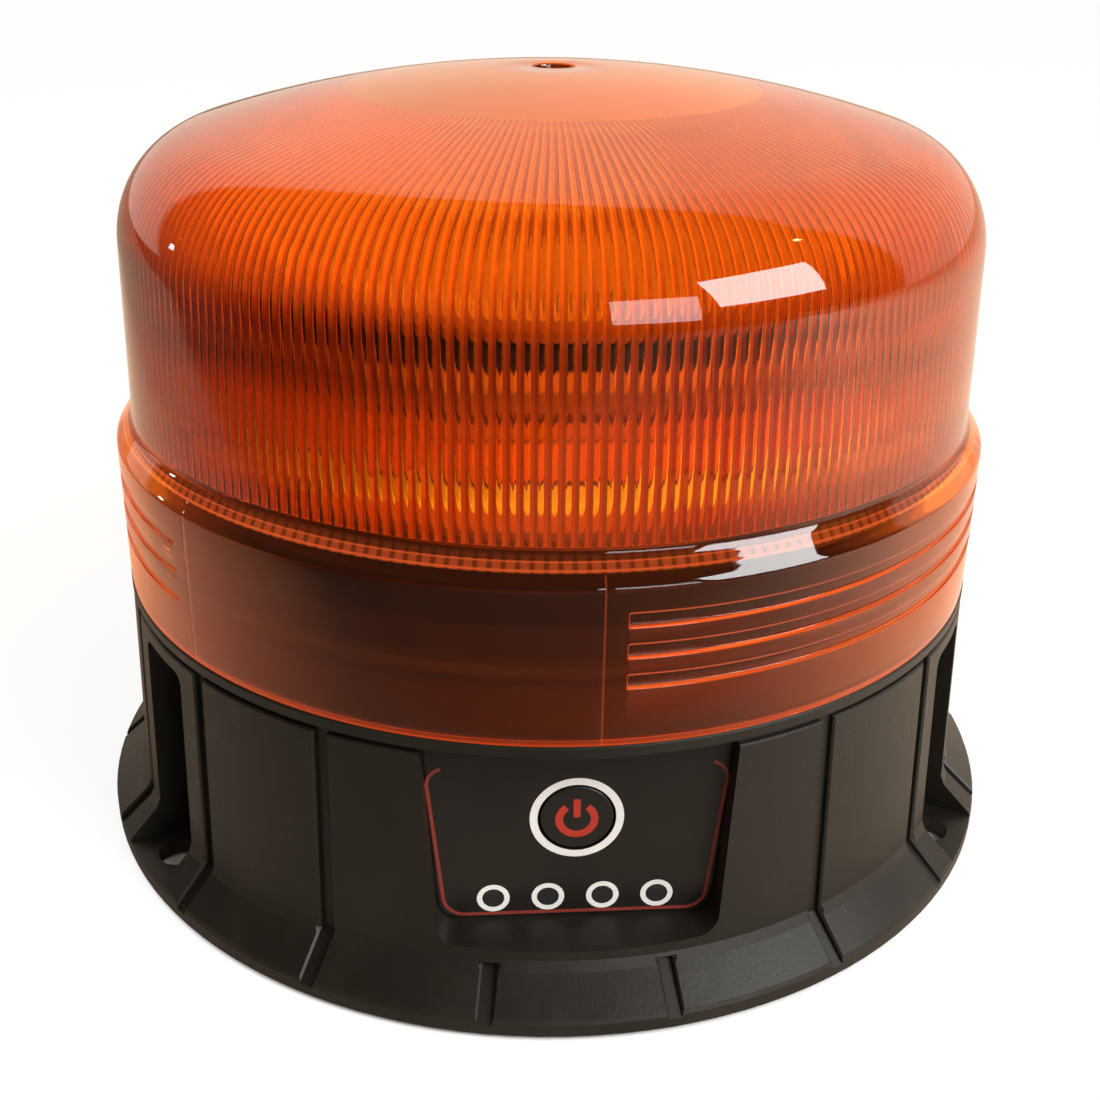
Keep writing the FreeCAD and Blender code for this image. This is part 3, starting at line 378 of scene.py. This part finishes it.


# Outside, from the blind hole in the roof down to the foot, as (radius, height, painted edge glow) rows.
# The three recessed lines on the band are rows pushed in by up to 0.8 mm where the azimuth allows;
# each row of a line has its drop below the line's top, its depth and its painted glow.
hole = unlit([(0.6, hole_floor), (1.8, hole_floor), (2.9, 115.52), (3.2, 115.75), (3.22, 116.7),
              (3.3, 116.9)])
cap = unlit(bend(0, cap_z, cap_radius, math.asin(hole_mouth_r / cap_radius), shoulder_turn, 10))
shoulder = unlit(bend(shoulder_r, shoulder_z, shoulder_radius, shoulder_turn, math.pi / 2, 16)[1:])
upright = unlit([(64.9, 84.4), (65.2, 75.0), (65.38, 69.3)])
ledge = np.array([(65.40, 68.95, 0), (65.43, 68.75, 0), (65.5, 68.52, 0.08), (65.95, 67.87, 0.15),
                  (66.05, 67.72, 0.9), (66.18, 67.53, 0.5), (66.55, 66.99, 0.5), (66.7, 66.77, 1.0),
                  (66.82, 66.6, 0.6), (66.9, 66.48, 0), (67.2, 66.05, 0), (67.55, 65.54, 0)])
lip = unlit([(67.68, 65.35), (67.82, 65.12), (67.93, 64.92), (67.98, 64.78), (68.0, 64.6)])
line_shape = np.array([(-0.3, 0.0, 0.0), (-0.12, 0.0, 0.75), (0.0, 0.06, 0.9), (0.06, 0.7, 0.2),
                       (0.14, 0.8, 0.0), (0.26, 0.8, 0.0), (1.72, 0.8, 0.0), (1.84, 0.8, 0.0),
                       (1.94, 0.7, 0.6), (2.0, 0.05, 1.0), (2.12, 0.0, 0.1)])
line_tops = band_top - line_drop - line_pitch * np.arange(line_count)
line_rows = (line_tops[:, None] - line_shape[:, 0]).ravel()
band = unlit(np.stack([band_r + band_draft * (band_top - line_rows) / band_h, line_rows], -1))
foot = np.array([(68.17, 45.0, 0), (68.19, 43.0, 0), (68.15, 42.75, 0.07), (68.0, 42.62, 0.11)])
above_band = np.concatenate([hole, cap, shoulder, upright, ledge, lip])
outer = np.concatenate([above_band, band, foot])
on_band = slice(len(above_band), len(above_band) + len(band))
line_depth, line_glow, has_seams = np.zeros((3, len(outer), 1))
line_depth[on_band, 0] = np.tile(line_shape[:, 1], line_count)
line_glow[on_band, 0] = np.tile(line_shape[:, 2], line_count)
has_seams[:-1, 0] = outer[:-1, 1] < band_look_from

# Round the outside: even steps, with extra ones at the ends of the lines and at the two fine seams
# that bound each third of the band. The lines and their painted glow fade along the third.
seams, seam_reach, seam_half_w, seam_depth, seam_glow = (2.0, 70.0), 0.14, 0.12, 0.05, 0.4
line_start, line_stop, line_run_in = 4.53, 67.6, 0.15
end_half_w, end_glow = 0.14, 0.8
fade_end, fade_run, fade_least = 66, 50, 0.08
line_start_marks = line_start + line_run_in * np.array([-1, 0, 1])
line_stop_marks = line_stop + line_run_in * np.array([-1, 0])
seam_marks = (np.array(seams)[:, None] + seam_reach * np.array([-1, 0, 1])).ravel()
marks = np.concatenate([line_start_marks, line_stop_marks, seam_marks])
even_steps = np.linspace(0, 360, 351, endpoint=False)
around = np.sort(np.concatenate([even_steps, (marks + 120 * np.arange(3)[:, None]).ravel()]))
third = np.mod(around, 120.0)
past_start = np.clip((third - line_start) / line_run_in, 0, 1)
in_line = past_start * np.clip((line_stop - third) / line_run_in, 0, 1)
fade = np.clip((fade_end - third) / fade_run, fade_least, 1) ** 1.5
at_seam = sum(np.clip(1 - np.abs(third - seam) / seam_half_w, 0, 1) for seam in seams)
at_line_end = np.clip(1 - np.abs(third - line_start) / end_half_w, 0, 1)
turn = np.radians(around)
r_out = outer[:, :1] - line_depth * in_line * (0.4 + 0.6 * fade) - seam_depth * has_seams * at_seam
z_out = np.repeat(outer[:, 1:2], len(turn), 1)
outside = np.stack([r_out * np.sin(turn), -r_out * np.cos(turn), z_out], -1)
glow_out = outer[:, 2:] + line_glow * in_line * fade + seam_glow * has_seams * at_seam * fade
glow_out = glow_out + end_glow * (line_depth > 0.01) * at_line_end

# Inside, from the foot up: a plain step, then the ribs. Each rib is a sharp ridge with two flat
# flanks, and a shallow hollow runs between it and the next. Both stand square to the wall and close
# up towards the roof; sizes across and in depth are shares of the rib spacing there.
ribs = 240
ridge_share, ridge_rise, hollow_angle = 0.56, 0.54, math.radians(26)
rib_end_r, disc_r, disc_lift = 30.6, 30.3, 0.15
hollow = np.linspace(-0.5, 0.5, 7)[1:-1] * (1 - ridge_share)
hollow_r = (1 - ridge_share) / 2 / math.sin(hollow_angle)
hollow_depth = np.sqrt(hollow_r ** 2 - hollow ** 2) - hollow_r * math.cos(hollow_angle)
across = np.concatenate([[0, ridge_share / 2, ridge_share], (1 + ridge_share) / 2 + hollow])
arch = np.tile(np.concatenate([[0, ridge_rise * ridge_share, 0], -hollow_depth]), ribs)
turn_inside = 2 * np.pi * (np.arange(ribs)[:, None] + across).ravel() / ribs
inner_shoulder = bend(shoulder_r, shoulder_z, shoulder_radius - wall, math.pi / 2, shoulder_turn, 12)
inner_cap_radius = cap_radius - wall
inner_cap = bend(0, cap_z, inner_cap_radius, shoulder_turn, math.asin(rib_end_r / inner_cap_radius), 7)[1:]
fluted = np.concatenate([[(63.09, 68.7), (62.53, 81.7)], inner_shoulder, inner_cap])
slope = np.gradient(fluted, axis=0)
inward = np.stack([-slope[:, 1], slope[:, 0]], -1) / np.linalg.norm(slope, axis=1, keepdims=True)
ridge = 2 * np.pi * fluted[:, :1] / ribs * arch
below = np.array([(66.0, 42.6), (65.45, 42.7), (65.4, 43.0), (65.4, 63.4), (63.2, 66.7), (63.15, 67.2),
                  (63.15, 68.65)])
disc_radius = inner_cap_radius - disc_lift
disc_turns = np.arcsin(np.array([disc_r, 30.0, 0.8]) / disc_radius)
disc_edge = bend(0, cap_z, disc_radius, disc_turns[0], 0, 1)
above = np.concatenate([disc_edge, bend(0, cap_z, disc_radius, disc_turns[1], disc_turns[2], 6)])
flat = np.ones((1, len(turn_inside)))
r_in = np.concatenate([below[:, :1] * flat, fluted[:, :1] + inward[:, :1] * ridge, above[:, :1] * flat])
z_in = np.concatenate([below[:, 1:] * flat, fluted[:, 1:] + inward[:, 1:] * ridge, above[:, 1:] * flat])
inside = np.stack([r_in * np.sin(turn_inside), -r_in * np.cos(turn_inside), z_in], -1)
glow_in = np.zeros(r_in.shape)
# A faint painted glow on the inner foot.
glow_in[:2] = [[0.08], [0.04]]

# Skin: rings of quads outside and inside, joined at the foot by flat faces that each take five
# inner steps to one outer step, and closed by fans in the hole and under the roof.
count_out, count_in, rows_in = len(turn), len(turn_inside), len(r_in)
steps = count_in // count_out
first_in = len(outer) * count_out
poles = [[0, 0, hole_floor], [0, 0, above[-1, 1]]]
points = np.concatenate([outside.reshape(-1, 3), inside.reshape(-1, 3), poles])
hole_pole, roof_pole = len(points) - 2, len(points) - 1
first_ring = np.arange(count_out)
last_ring = first_in - count_out + first_ring
inner_foot = first_in + (steps * first_ring[:, None] + np.arange(steps, -1, -1)) % count_in
roof_ring = first_in + (rows_in - 1) * count_in + np.arange(count_in)
outer_faces = quads(len(outer), count_out, wrap_cols=True)[:, ::-1]
foot_faces = np.column_stack([last_ring, np.roll(last_ring, -1), inner_foot])[:, ::-1]
inner_faces = quads(rows_in, count_in, wrap_cols=True, first=first_in)[:, ::-1]
hole_fan = np.column_stack([np.full(count_out, hole_pole), first_ring, np.roll(first_ring, -1)])
roof_fan = np.column_stack([np.full(count_in, roof_pole), np.roll(roof_ring, -1), roof_ring])

# Amber body: a broad noise clouds the tint and the polish. The edge_glow attribute marks where a painted
# glow lights the cut edges; on the ledge, the faint painted glow is broken into one dash for each rib behind
# it.
amber, amber_in, amber_out = effect(
    "amber_body", {"Pale": (1.0, 0.38, 0.03, 1), "Deep": (1.0, 0.43, 0.042, 1), "Shine": 0.02},
    {"Tint": "Color", "Roughness": "Float", "Glow": "Float"})
ledge_from, ledge_full = 66.0 * mm, 66.4 * mm
place = shader(amber, "TexCoord").outputs["Object"]
apart = shader(amber, "SeparateXYZ", {"Vector": place}).outputs
edge = shader(amber, "Attribute", attribute_name="edge_glow").outputs["Fac"]
haze = noise(amber, place, 55.0, 4.0)
polish = [sums(amber, "MULTIPLY", amber_in["Shine"], share) for share in (0.6, 2.0)]
azimuth = sums(amber, "ARCTAN2", apart["X"], apart["Y"])
wave = sums(amber, "SINE", sums(amber, "MULTIPLY", azimuth, float(ribs)))
dash = mapped(amber, wave, -0.75, 0.0, 0.35)
on_ledge = mapped(amber, apart["Z"], ledge_from, ledge_full)
faint = sums(amber, "MULTIPLY", on_ledge, mapped(amber, edge, 0.85, 0.6))
broken = shader(amber, "Mix", {0: faint, 2: 1.0, 3: dash}).outputs[0]
amber.links.new(mixed(amber, haze, amber_in["Pale"], amber_in["Deep"]), amber_out["Tint"])
amber.links.new(mapped(amber, haze, 0.4, 0.75, *polish), amber_out["Roughness"])
amber.links.new(sums(amber, "MULTIPLY", edge, broken), amber_out["Glow"])


def amber_finish(name, clear, shine, pale, deep, rim=0.0, repaint=None):
    """Amber polycarbonate, as clear and as smooth as asked, with a painted glow at cut edges and, by rim, a
    painted glow where it is seen edge on. Shadows and soft light pass through it. Repaint may paint light and
    shade into the tint over the lens."""
    made, tree, surface = finish(name, IOR=1.58, Transmission_Weight=clear, Emission_Strength=1.0)
    clouded = shader(tree, "Group", node_tree=amber)
    for label, value in zip(("Pale", "Deep", "Shine"), ((*pale, 1), (*deep, 1), shine)):
        clouded.inputs[label].default_value = value
    tint = clouded.outputs["Tint"]
    if repaint:
        tint = repaint(tree, tint)
    # Painted glow: emission at the cut edges and, by rim, where the lens is seen edge on.
    facing = shader(tree, "LayerWeight", {"Blend": 0.5}).outputs["Facing"]
    rim_light = mixed(tree, mapped(tree, facing, 0.25, 0.95, 0.0, rim), (0, 0, 0, 1), (1.0, 0.13, 0.008, 1))
    glow = mixed(tree, clouded.outputs["Glow"], rim_light, (0.62, 0.08, 0.016, 1))
    tree.links.new(tint, surface.inputs["Base Color"])
    tree.links.new(clouded.outputs["Roughness"], surface.inputs["Roughness"])
    tree.links.new(glow, surface.inputs["Emission Color"])
    path = shader(tree, "LightPath").outputs
    soft = sums(tree, "MAXIMUM", path["Is Shadow Ray"], path["Is Diffuse Ray"])
    through = shader(tree, "BsdfTransparent", {"Color": (1.0, 0.8, 0.36, 1)})
    both = shader(tree, "MixShader", {0: soft, 1: surface.outputs[0], 2: through.outputs[0]})
    tree.links.new(both.outputs[0], tree.nodes["Material Output"].inputs["Surface"])
    return made


def roof_painted_light(tree, tint):
    """Painted shade turns the ribs dark under the shoulder, mainly on the left, away from the lamps, and
    painted light turns them pale orange up in the roof.
    """
    apart = shader(tree, "SeparateXYZ", {"Vector": shader(tree, "TexCoord").outputs["Object"]}).outputs
    rising = mapped(tree, apart["Z"], 83.5 * mm, 88 * mm)
    falling = mapped(tree, apart["Z"], 99 * mm, 94.5 * mm)
    leftward = mapped(tree, apart["X"], 45 * mm, -30 * mm, 0.1)
    dim = sums(tree, "MULTIPLY", sums(tree, "MULTIPLY", rising, falling), leftward)
    tint = mixed(tree, dim, tint, (0.2, 0.025, 0.0015, 1))
    return mixed(tree, mapped(tree, apart["Z"], 93 * mm, 103 * mm), tint, (0.95, 0.24, 0.012, 1))


def terrace_shade(tree, tint):
    """Painted shade: the band's inner face goes darker above each of three steps, in front and not at the
    sides, where light comes through from behind.
    """
    apart = shader(tree, "SeparateXYZ", {"Vector": shader(tree, "TexCoord").outputs["Object"]}).outputs
    in_front = mapped(tree, sums(tree, "ABSOLUTE", apart["X"]), 58 * mm, 25 * mm)
    shade_steps = [(50.4, (0.75, 0.19, 0.014, 1)), (54.4, (0.45, 0.11, 0.008, 1)),
                (58.9, (0.22, 0.05, 0.004, 1))]
    for step_z, tone in shade_steps:
        over = mapped(tree, apart["Z"], (step_z - 0.35) * mm, (step_z + 0.35) * mm)
        tint = mixed(tree, sums(tree, "MULTIPLY", over, in_front), tint, tone)
    return tint


polished = amber_finish("amber_polished", 1.0, 0.02, (1.0, 0.38, 0.03), (1.0, 0.43, 0.042))
ribbed = amber_finish("amber_ribbed", 0.4, 0.05, (0.46, 0.07, 0.003), (0.54, 0.085, 0.004), repaint=roof_painted_light)
band_outside = amber_finish("amber_band", 1.0, 0.03, (1.0, 0.21, 0.015), (1.0, 0.25, 0.02), rim=0.3)
band_inside = amber_finish("amber_band_matt", 0.965, 0.05, (1.0, 0.26, 0.02), (1.0, 0.3, 0.025),
                           repaint=terrace_shade)
under_roof = amber_finish("amber_underside", 0.5, 0.05, (0.84, 0.27, 0.025), (0.86, 0.3, 0.032))

lens = piece("fluted_lens", points, [outer_faces, foot_faces, inner_faces, hole_fan, roof_fan], polished,
             "base")
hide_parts("dome_lens")
for extra in (ribbed, band_outside, band_inside, under_roof):
    lens.data.materials.append(extra)
ribbed_slot, outside_slot, inside_slot, under_slot = 1, 2, 3, 4

# Where each finish goes: the flanks of the ribs, the band outside and in, the foot and the roof's
# underside. The ridges and the ends of the ribs keep sharp edges.
row = np.arange(rows_in - 1)[:, None]
col = np.arange(count_in) % len(across)
under_from = rows_in - len(above) - 1
flanks = (row >= len(below) - 1) & (row < under_from) & (col < 2)
inner_slots = ribbed_slot * flanks + inside_slot * (row < 4) + under_slot * (row >= under_from)
outer_slots = outside_slot * np.repeat(outer[:-1, 1] < band_look_from, count_out)
slots = np.concatenate([outer_slots, np.full(len(foot_faces), outside_slot), inner_slots.ravel(),
                        np.zeros(count_out, int), np.full(count_in, under_slot)])
lens.data.polygons.foreach_set("material_index", slots.astype(np.int32))
glow = np.concatenate([glow_out.ravel(), glow_in.ravel(), [0.0, 0.0]]).astype(np.float32)
lens.data.attributes.new("edge_glow", "FLOAT", "POINT").data.foreach_set("value", glow)
ends = np.zeros(2 * len(lens.data.edges), np.int32)
lens.data.edges.foreach_get("vertices", ends)
ends = ends.reshape(-1, 2) - first_in
end_row, end_col = ends // count_in, ends[:, 0] % count_in % len(across)
within = ends.min(1) >= 0
ridge_edge = within & (np.abs(np.diff(ends, axis=1)[:, 0]) == count_in) & (end_col < 3)
at_rib_foot = np.isin(end_row[:, 0], (len(below) - 1, len(below)))
rib_foot_edge = within & at_rib_foot & (end_row[:, 0] == end_row[:, 1])
sharp = np.zeros(len(ends), bool)
sharp_edges = lens.data.attributes["sharp_edge"].data
sharp_edges.foreach_get("value", sharp)
sharp_edges.foreach_set("value", sharp | ridge_edge | rib_foot_edge)


# Lens bosses: three hollow posts inside the foot of the lens, moulded with it, that take the screws
# from the housing's shelf. A short web ties each post to the wall.
boss_circle, boss_r, boss_hole_r = 54.0, 3.2, 1.65
boss_foot, boss_top, boss_roof = 60.02, 70.0, 2
web_in, web_out, web_foot, web_half_t = 56.8, 63.0, 67.0, 1.2
boss_sides = 32
profile = np.array([(boss_hole_r, boss_top - boss_roof), (boss_hole_r, boss_foot), (boss_r, boss_foot),
                    (boss_r, boss_top)])
spin = np.linspace(0, 2 * np.pi, boss_sides, endpoint=False)
post = np.stack([profile[:, :1] * np.cos(spin) + boss_circle, profile[:, :1] * np.sin(spin),
                 np.repeat(profile[:, 1:], boss_sides, 1)], -1).reshape(-1, 3)
end_ring = np.arange(boss_sides)[None]
post_faces = [quads(len(profile), boss_sides, wrap_cols=True), end_ring[:, ::-1],
              (len(profile) - 1) * boss_sides + end_ring]
web_plan = np.array([(web_in, -web_half_t), (web_out, -web_half_t), (web_out, web_half_t),
                     (web_in, web_half_t)])
web = np.concatenate([np.column_stack([web_plan, np.full(4, z)]) for z in (web_foot, boss_top)])
web_faces = np.array([[3, 2, 1, 0], [4, 5, 6, 7], [0, 1, 5, 4], [1, 2, 6, 5], [2, 3, 7, 6], [3, 0, 4, 7]])
boss_points, boss_faces = [], []
for boss_turn in np.radians([60.0, 180.0, 300.0]):
    outwards = [math.sin(boss_turn), -math.cos(boss_turn), 0]
    sideways = [math.cos(boss_turn), math.sin(boss_turn), 0]
    aim = np.array([outwards, sideways, [0, 0, 1]])
    for shape, shape_faces in ((post, post_faces), (web, [web_faces])):
        boss_faces += [f + sum(map(len, boss_points)) for f in shape_faces]
        boss_points.append(shape @ aim)
piece("lens_bosses", np.concatenate(boss_points), boss_faces, polished, "base")


# Studio floor: a white paper sheet on which the light stands. The camera sees it white, except under
# the light; reflections and bounced light find painted light and shade on it: warm, bright behind, and darker
# in front and to the left.
floor_half = 4.0
floor_corners = [(-floor_half, -floor_half, 0), (floor_half, -floor_half, 0), (floor_half, floor_half, 0),
                 (-floor_half, floor_half, 0)]
floor_mesh = bpy.data.meshes.new("floor")
floor_mesh.from_pydata(floor_corners, [], [(0, 1, 2, 3)])
floor = bpy.data.objects.new("floor", floor_mesh)
bpy.context.scene.collection.objects.link(floor)
paper, tree, surface = finish("white_paper", Base_Color=(0.85, 0.85, 0.85, 1), Roughness=0.9)
place = shader(tree, "TexCoord").outputs["Object"]
spot = shader(tree, "SeparateXYZ", {"Vector": place}).outputs
seen = shader(tree, "LightPath").outputs["Is Camera Ray"]
fibres = mapped(tree, noise(tree, place, 40.0, 2.0), 0.0, 1.0, 0.82, 0.88)
# Painted light and shade for reflections: bright behind, dark in front and to the left.
behind = sums(tree, "MULTIPLY_ADD", sums(tree, "MAXIMUM", spot["X"], 0.0), 0.6, spot["Y"])
brightness = mapped(tree, behind, -0.14, 0.06, 0.12, 0.9)
skew = sums(tree, "MULTIPLY_ADD", spot["X"], 1.124, spot["Y"])
front_left_shade = mapped(tree, skew, -0.365, -0.32, 0.25)
far_left_shade = mapped(tree, spot["X"], -0.26, -0.16, 0.55)
brightness = sums(tree, "MULTIPLY", brightness, sums(tree, "MULTIPLY", front_left_shade, far_left_shade))
paper_painted_light = mixed(tree, 1.0, brightness, (1.0, 0.82, 0.64, 1), "MULTIPLY")
tree.links.new(mixed(tree, seen, paper_painted_light, fibres), surface.inputs["Base Color"])
clear_of_light = mapped(tree, off_axis(tree, place), 74.2 * mm, 75 * mm, 0.0, 0.82)
white = shader(tree, "Emission", {"Color": (1, 1, 1, 1), "Strength": 1.08})
share = sums(tree, "MULTIPLY", seen, clear_of_light)
floor_mix = shader(tree, "MixShader", {0: share, 1: surface.outputs[0], 2: white.outputs[0]})
tree.links.new(floor_mix.outputs[0], tree.nodes["Material Output"].inputs["Surface"])
floor_mesh.materials.append(paper)


# Surround: white to the camera. Round the light it is bright behind and dim in front, and reflections
# find the front dimmer still, as in a room with pale walls behind the object.
world = bpy.data.worlds.new("surround")
bpy.context.scene.world = world
world.use_nodes = True
tree = world.node_tree
path = shader(tree, "LightPath").outputs
look = shader(tree, "TexCoord").outputs["Generated"]
leaning = shader(tree, "VectorMath", {0: look, 1: (0.442, 0.793, -0.420)}, operation="DOT_PRODUCT")
rear = sums(tree, "ADD", shader(tree, "SeparateXYZ", {"Vector": look}).outputs["Y"], -0.06)
back_half = sums(tree, "MINIMUM", leaning.outputs["Value"], rear)
bright_part = mapped(tree, back_half, -0.02, 0.03)
reflected = mixed(tree, bright_part, (0.11, 0.088, 0.055, 1), (0.9, 0.78, 0.65, 1))
plain = mixed(tree, bright_part, (0.44, 0.39, 0.33, 1), (1.08, 1.01, 0.91, 1))
room = mixed(tree, path["Is Glossy Ray"], plain, reflected)
view = mixed(tree, path["Is Camera Ray"], room, (1, 1, 1, 1))
tree.links.new(view, tree.nodes["Background"].inputs["Color"])


# Lamps: two panes of a window at the right in front, which mirror in the shoulder, a soft lamp high
# in front that only lights, and two small ones for glints. All face the middle of the lens.
lens_middle = Vector((0, 0, 0.095))


def lamp(name, spot, width, height, power, colour=(1, 1, 1)):
    """A flat rectangular lamp at a place, facing the lens."""
    light = bpy.data.lights.new(name, "AREA")
    light.shape = "RECTANGLE"
    light.size = width
    light.size_y = height
    light.energy = power
    light.color = colour
    made = bpy.data.objects.new(name, light)
    made.location = spot
    made.rotation_euler = (lens_middle - Vector(spot)).to_track_quat("-Z", "Y").to_euler()
    bpy.context.scene.collection.objects.link(made)
    return made


near_window = lamp("window_near", (0.42, -1.094, 0.355), 0.445, 0.40, 2.6)
far_window = lamp("window_far", (0.864, -0.695, 0.554), 0.62, 0.445, 9.5)
lamp("left_glint", (-1.1, 0.44, 0.23), 0.05, 0.05, 0.1)
lamp("right_glint", (0.69, -0.13, 0.79), 0.03, 0.03, 0.05, (1, 0.8, 0.4))
sky = lamp("sky_front", (0.5, -0.55, 0.85), 0.4, 0.4, 6.5)
sky.visible_glossy = False
for hidden_inside in (near_window, far_window, sky):
    hidden_inside.visible_transmission = False


# Camera: just above the light and a little to its left, close enough for a strong perspective.
# Its place, aim and roll are those of a camera fitted to the light's round edges.
eye = Vector((-15.390, -220.093, 142.860)) * mm
ahead = Vector((0.064487, 0.900738, -0.429550)).normalized()
roll = math.radians(0.721)
level = ahead.cross(Vector((0, 0, 1))).normalized()
upward = level.cross(ahead)
right = level * math.cos(roll) + upward * math.sin(roll)
up = upward * math.cos(roll) - level * math.sin(roll)
camera_data = bpy.data.cameras.new("camera")
camera_data.sensor_width = 36.0
camera_data.lens = 46.73
camera_data.clip_start = 0.01
camera = bpy.data.objects.new("camera", camera_data)
turned = Matrix((right, up, -ahead)).transposed()
camera.matrix_world = Matrix.Translation(eye) @ turned.to_4x4()
bpy.context.scene.collection.objects.link(camera)
bpy.context.scene.camera = camera
bpy.context.scene.view_settings.view_transform = "Standard"
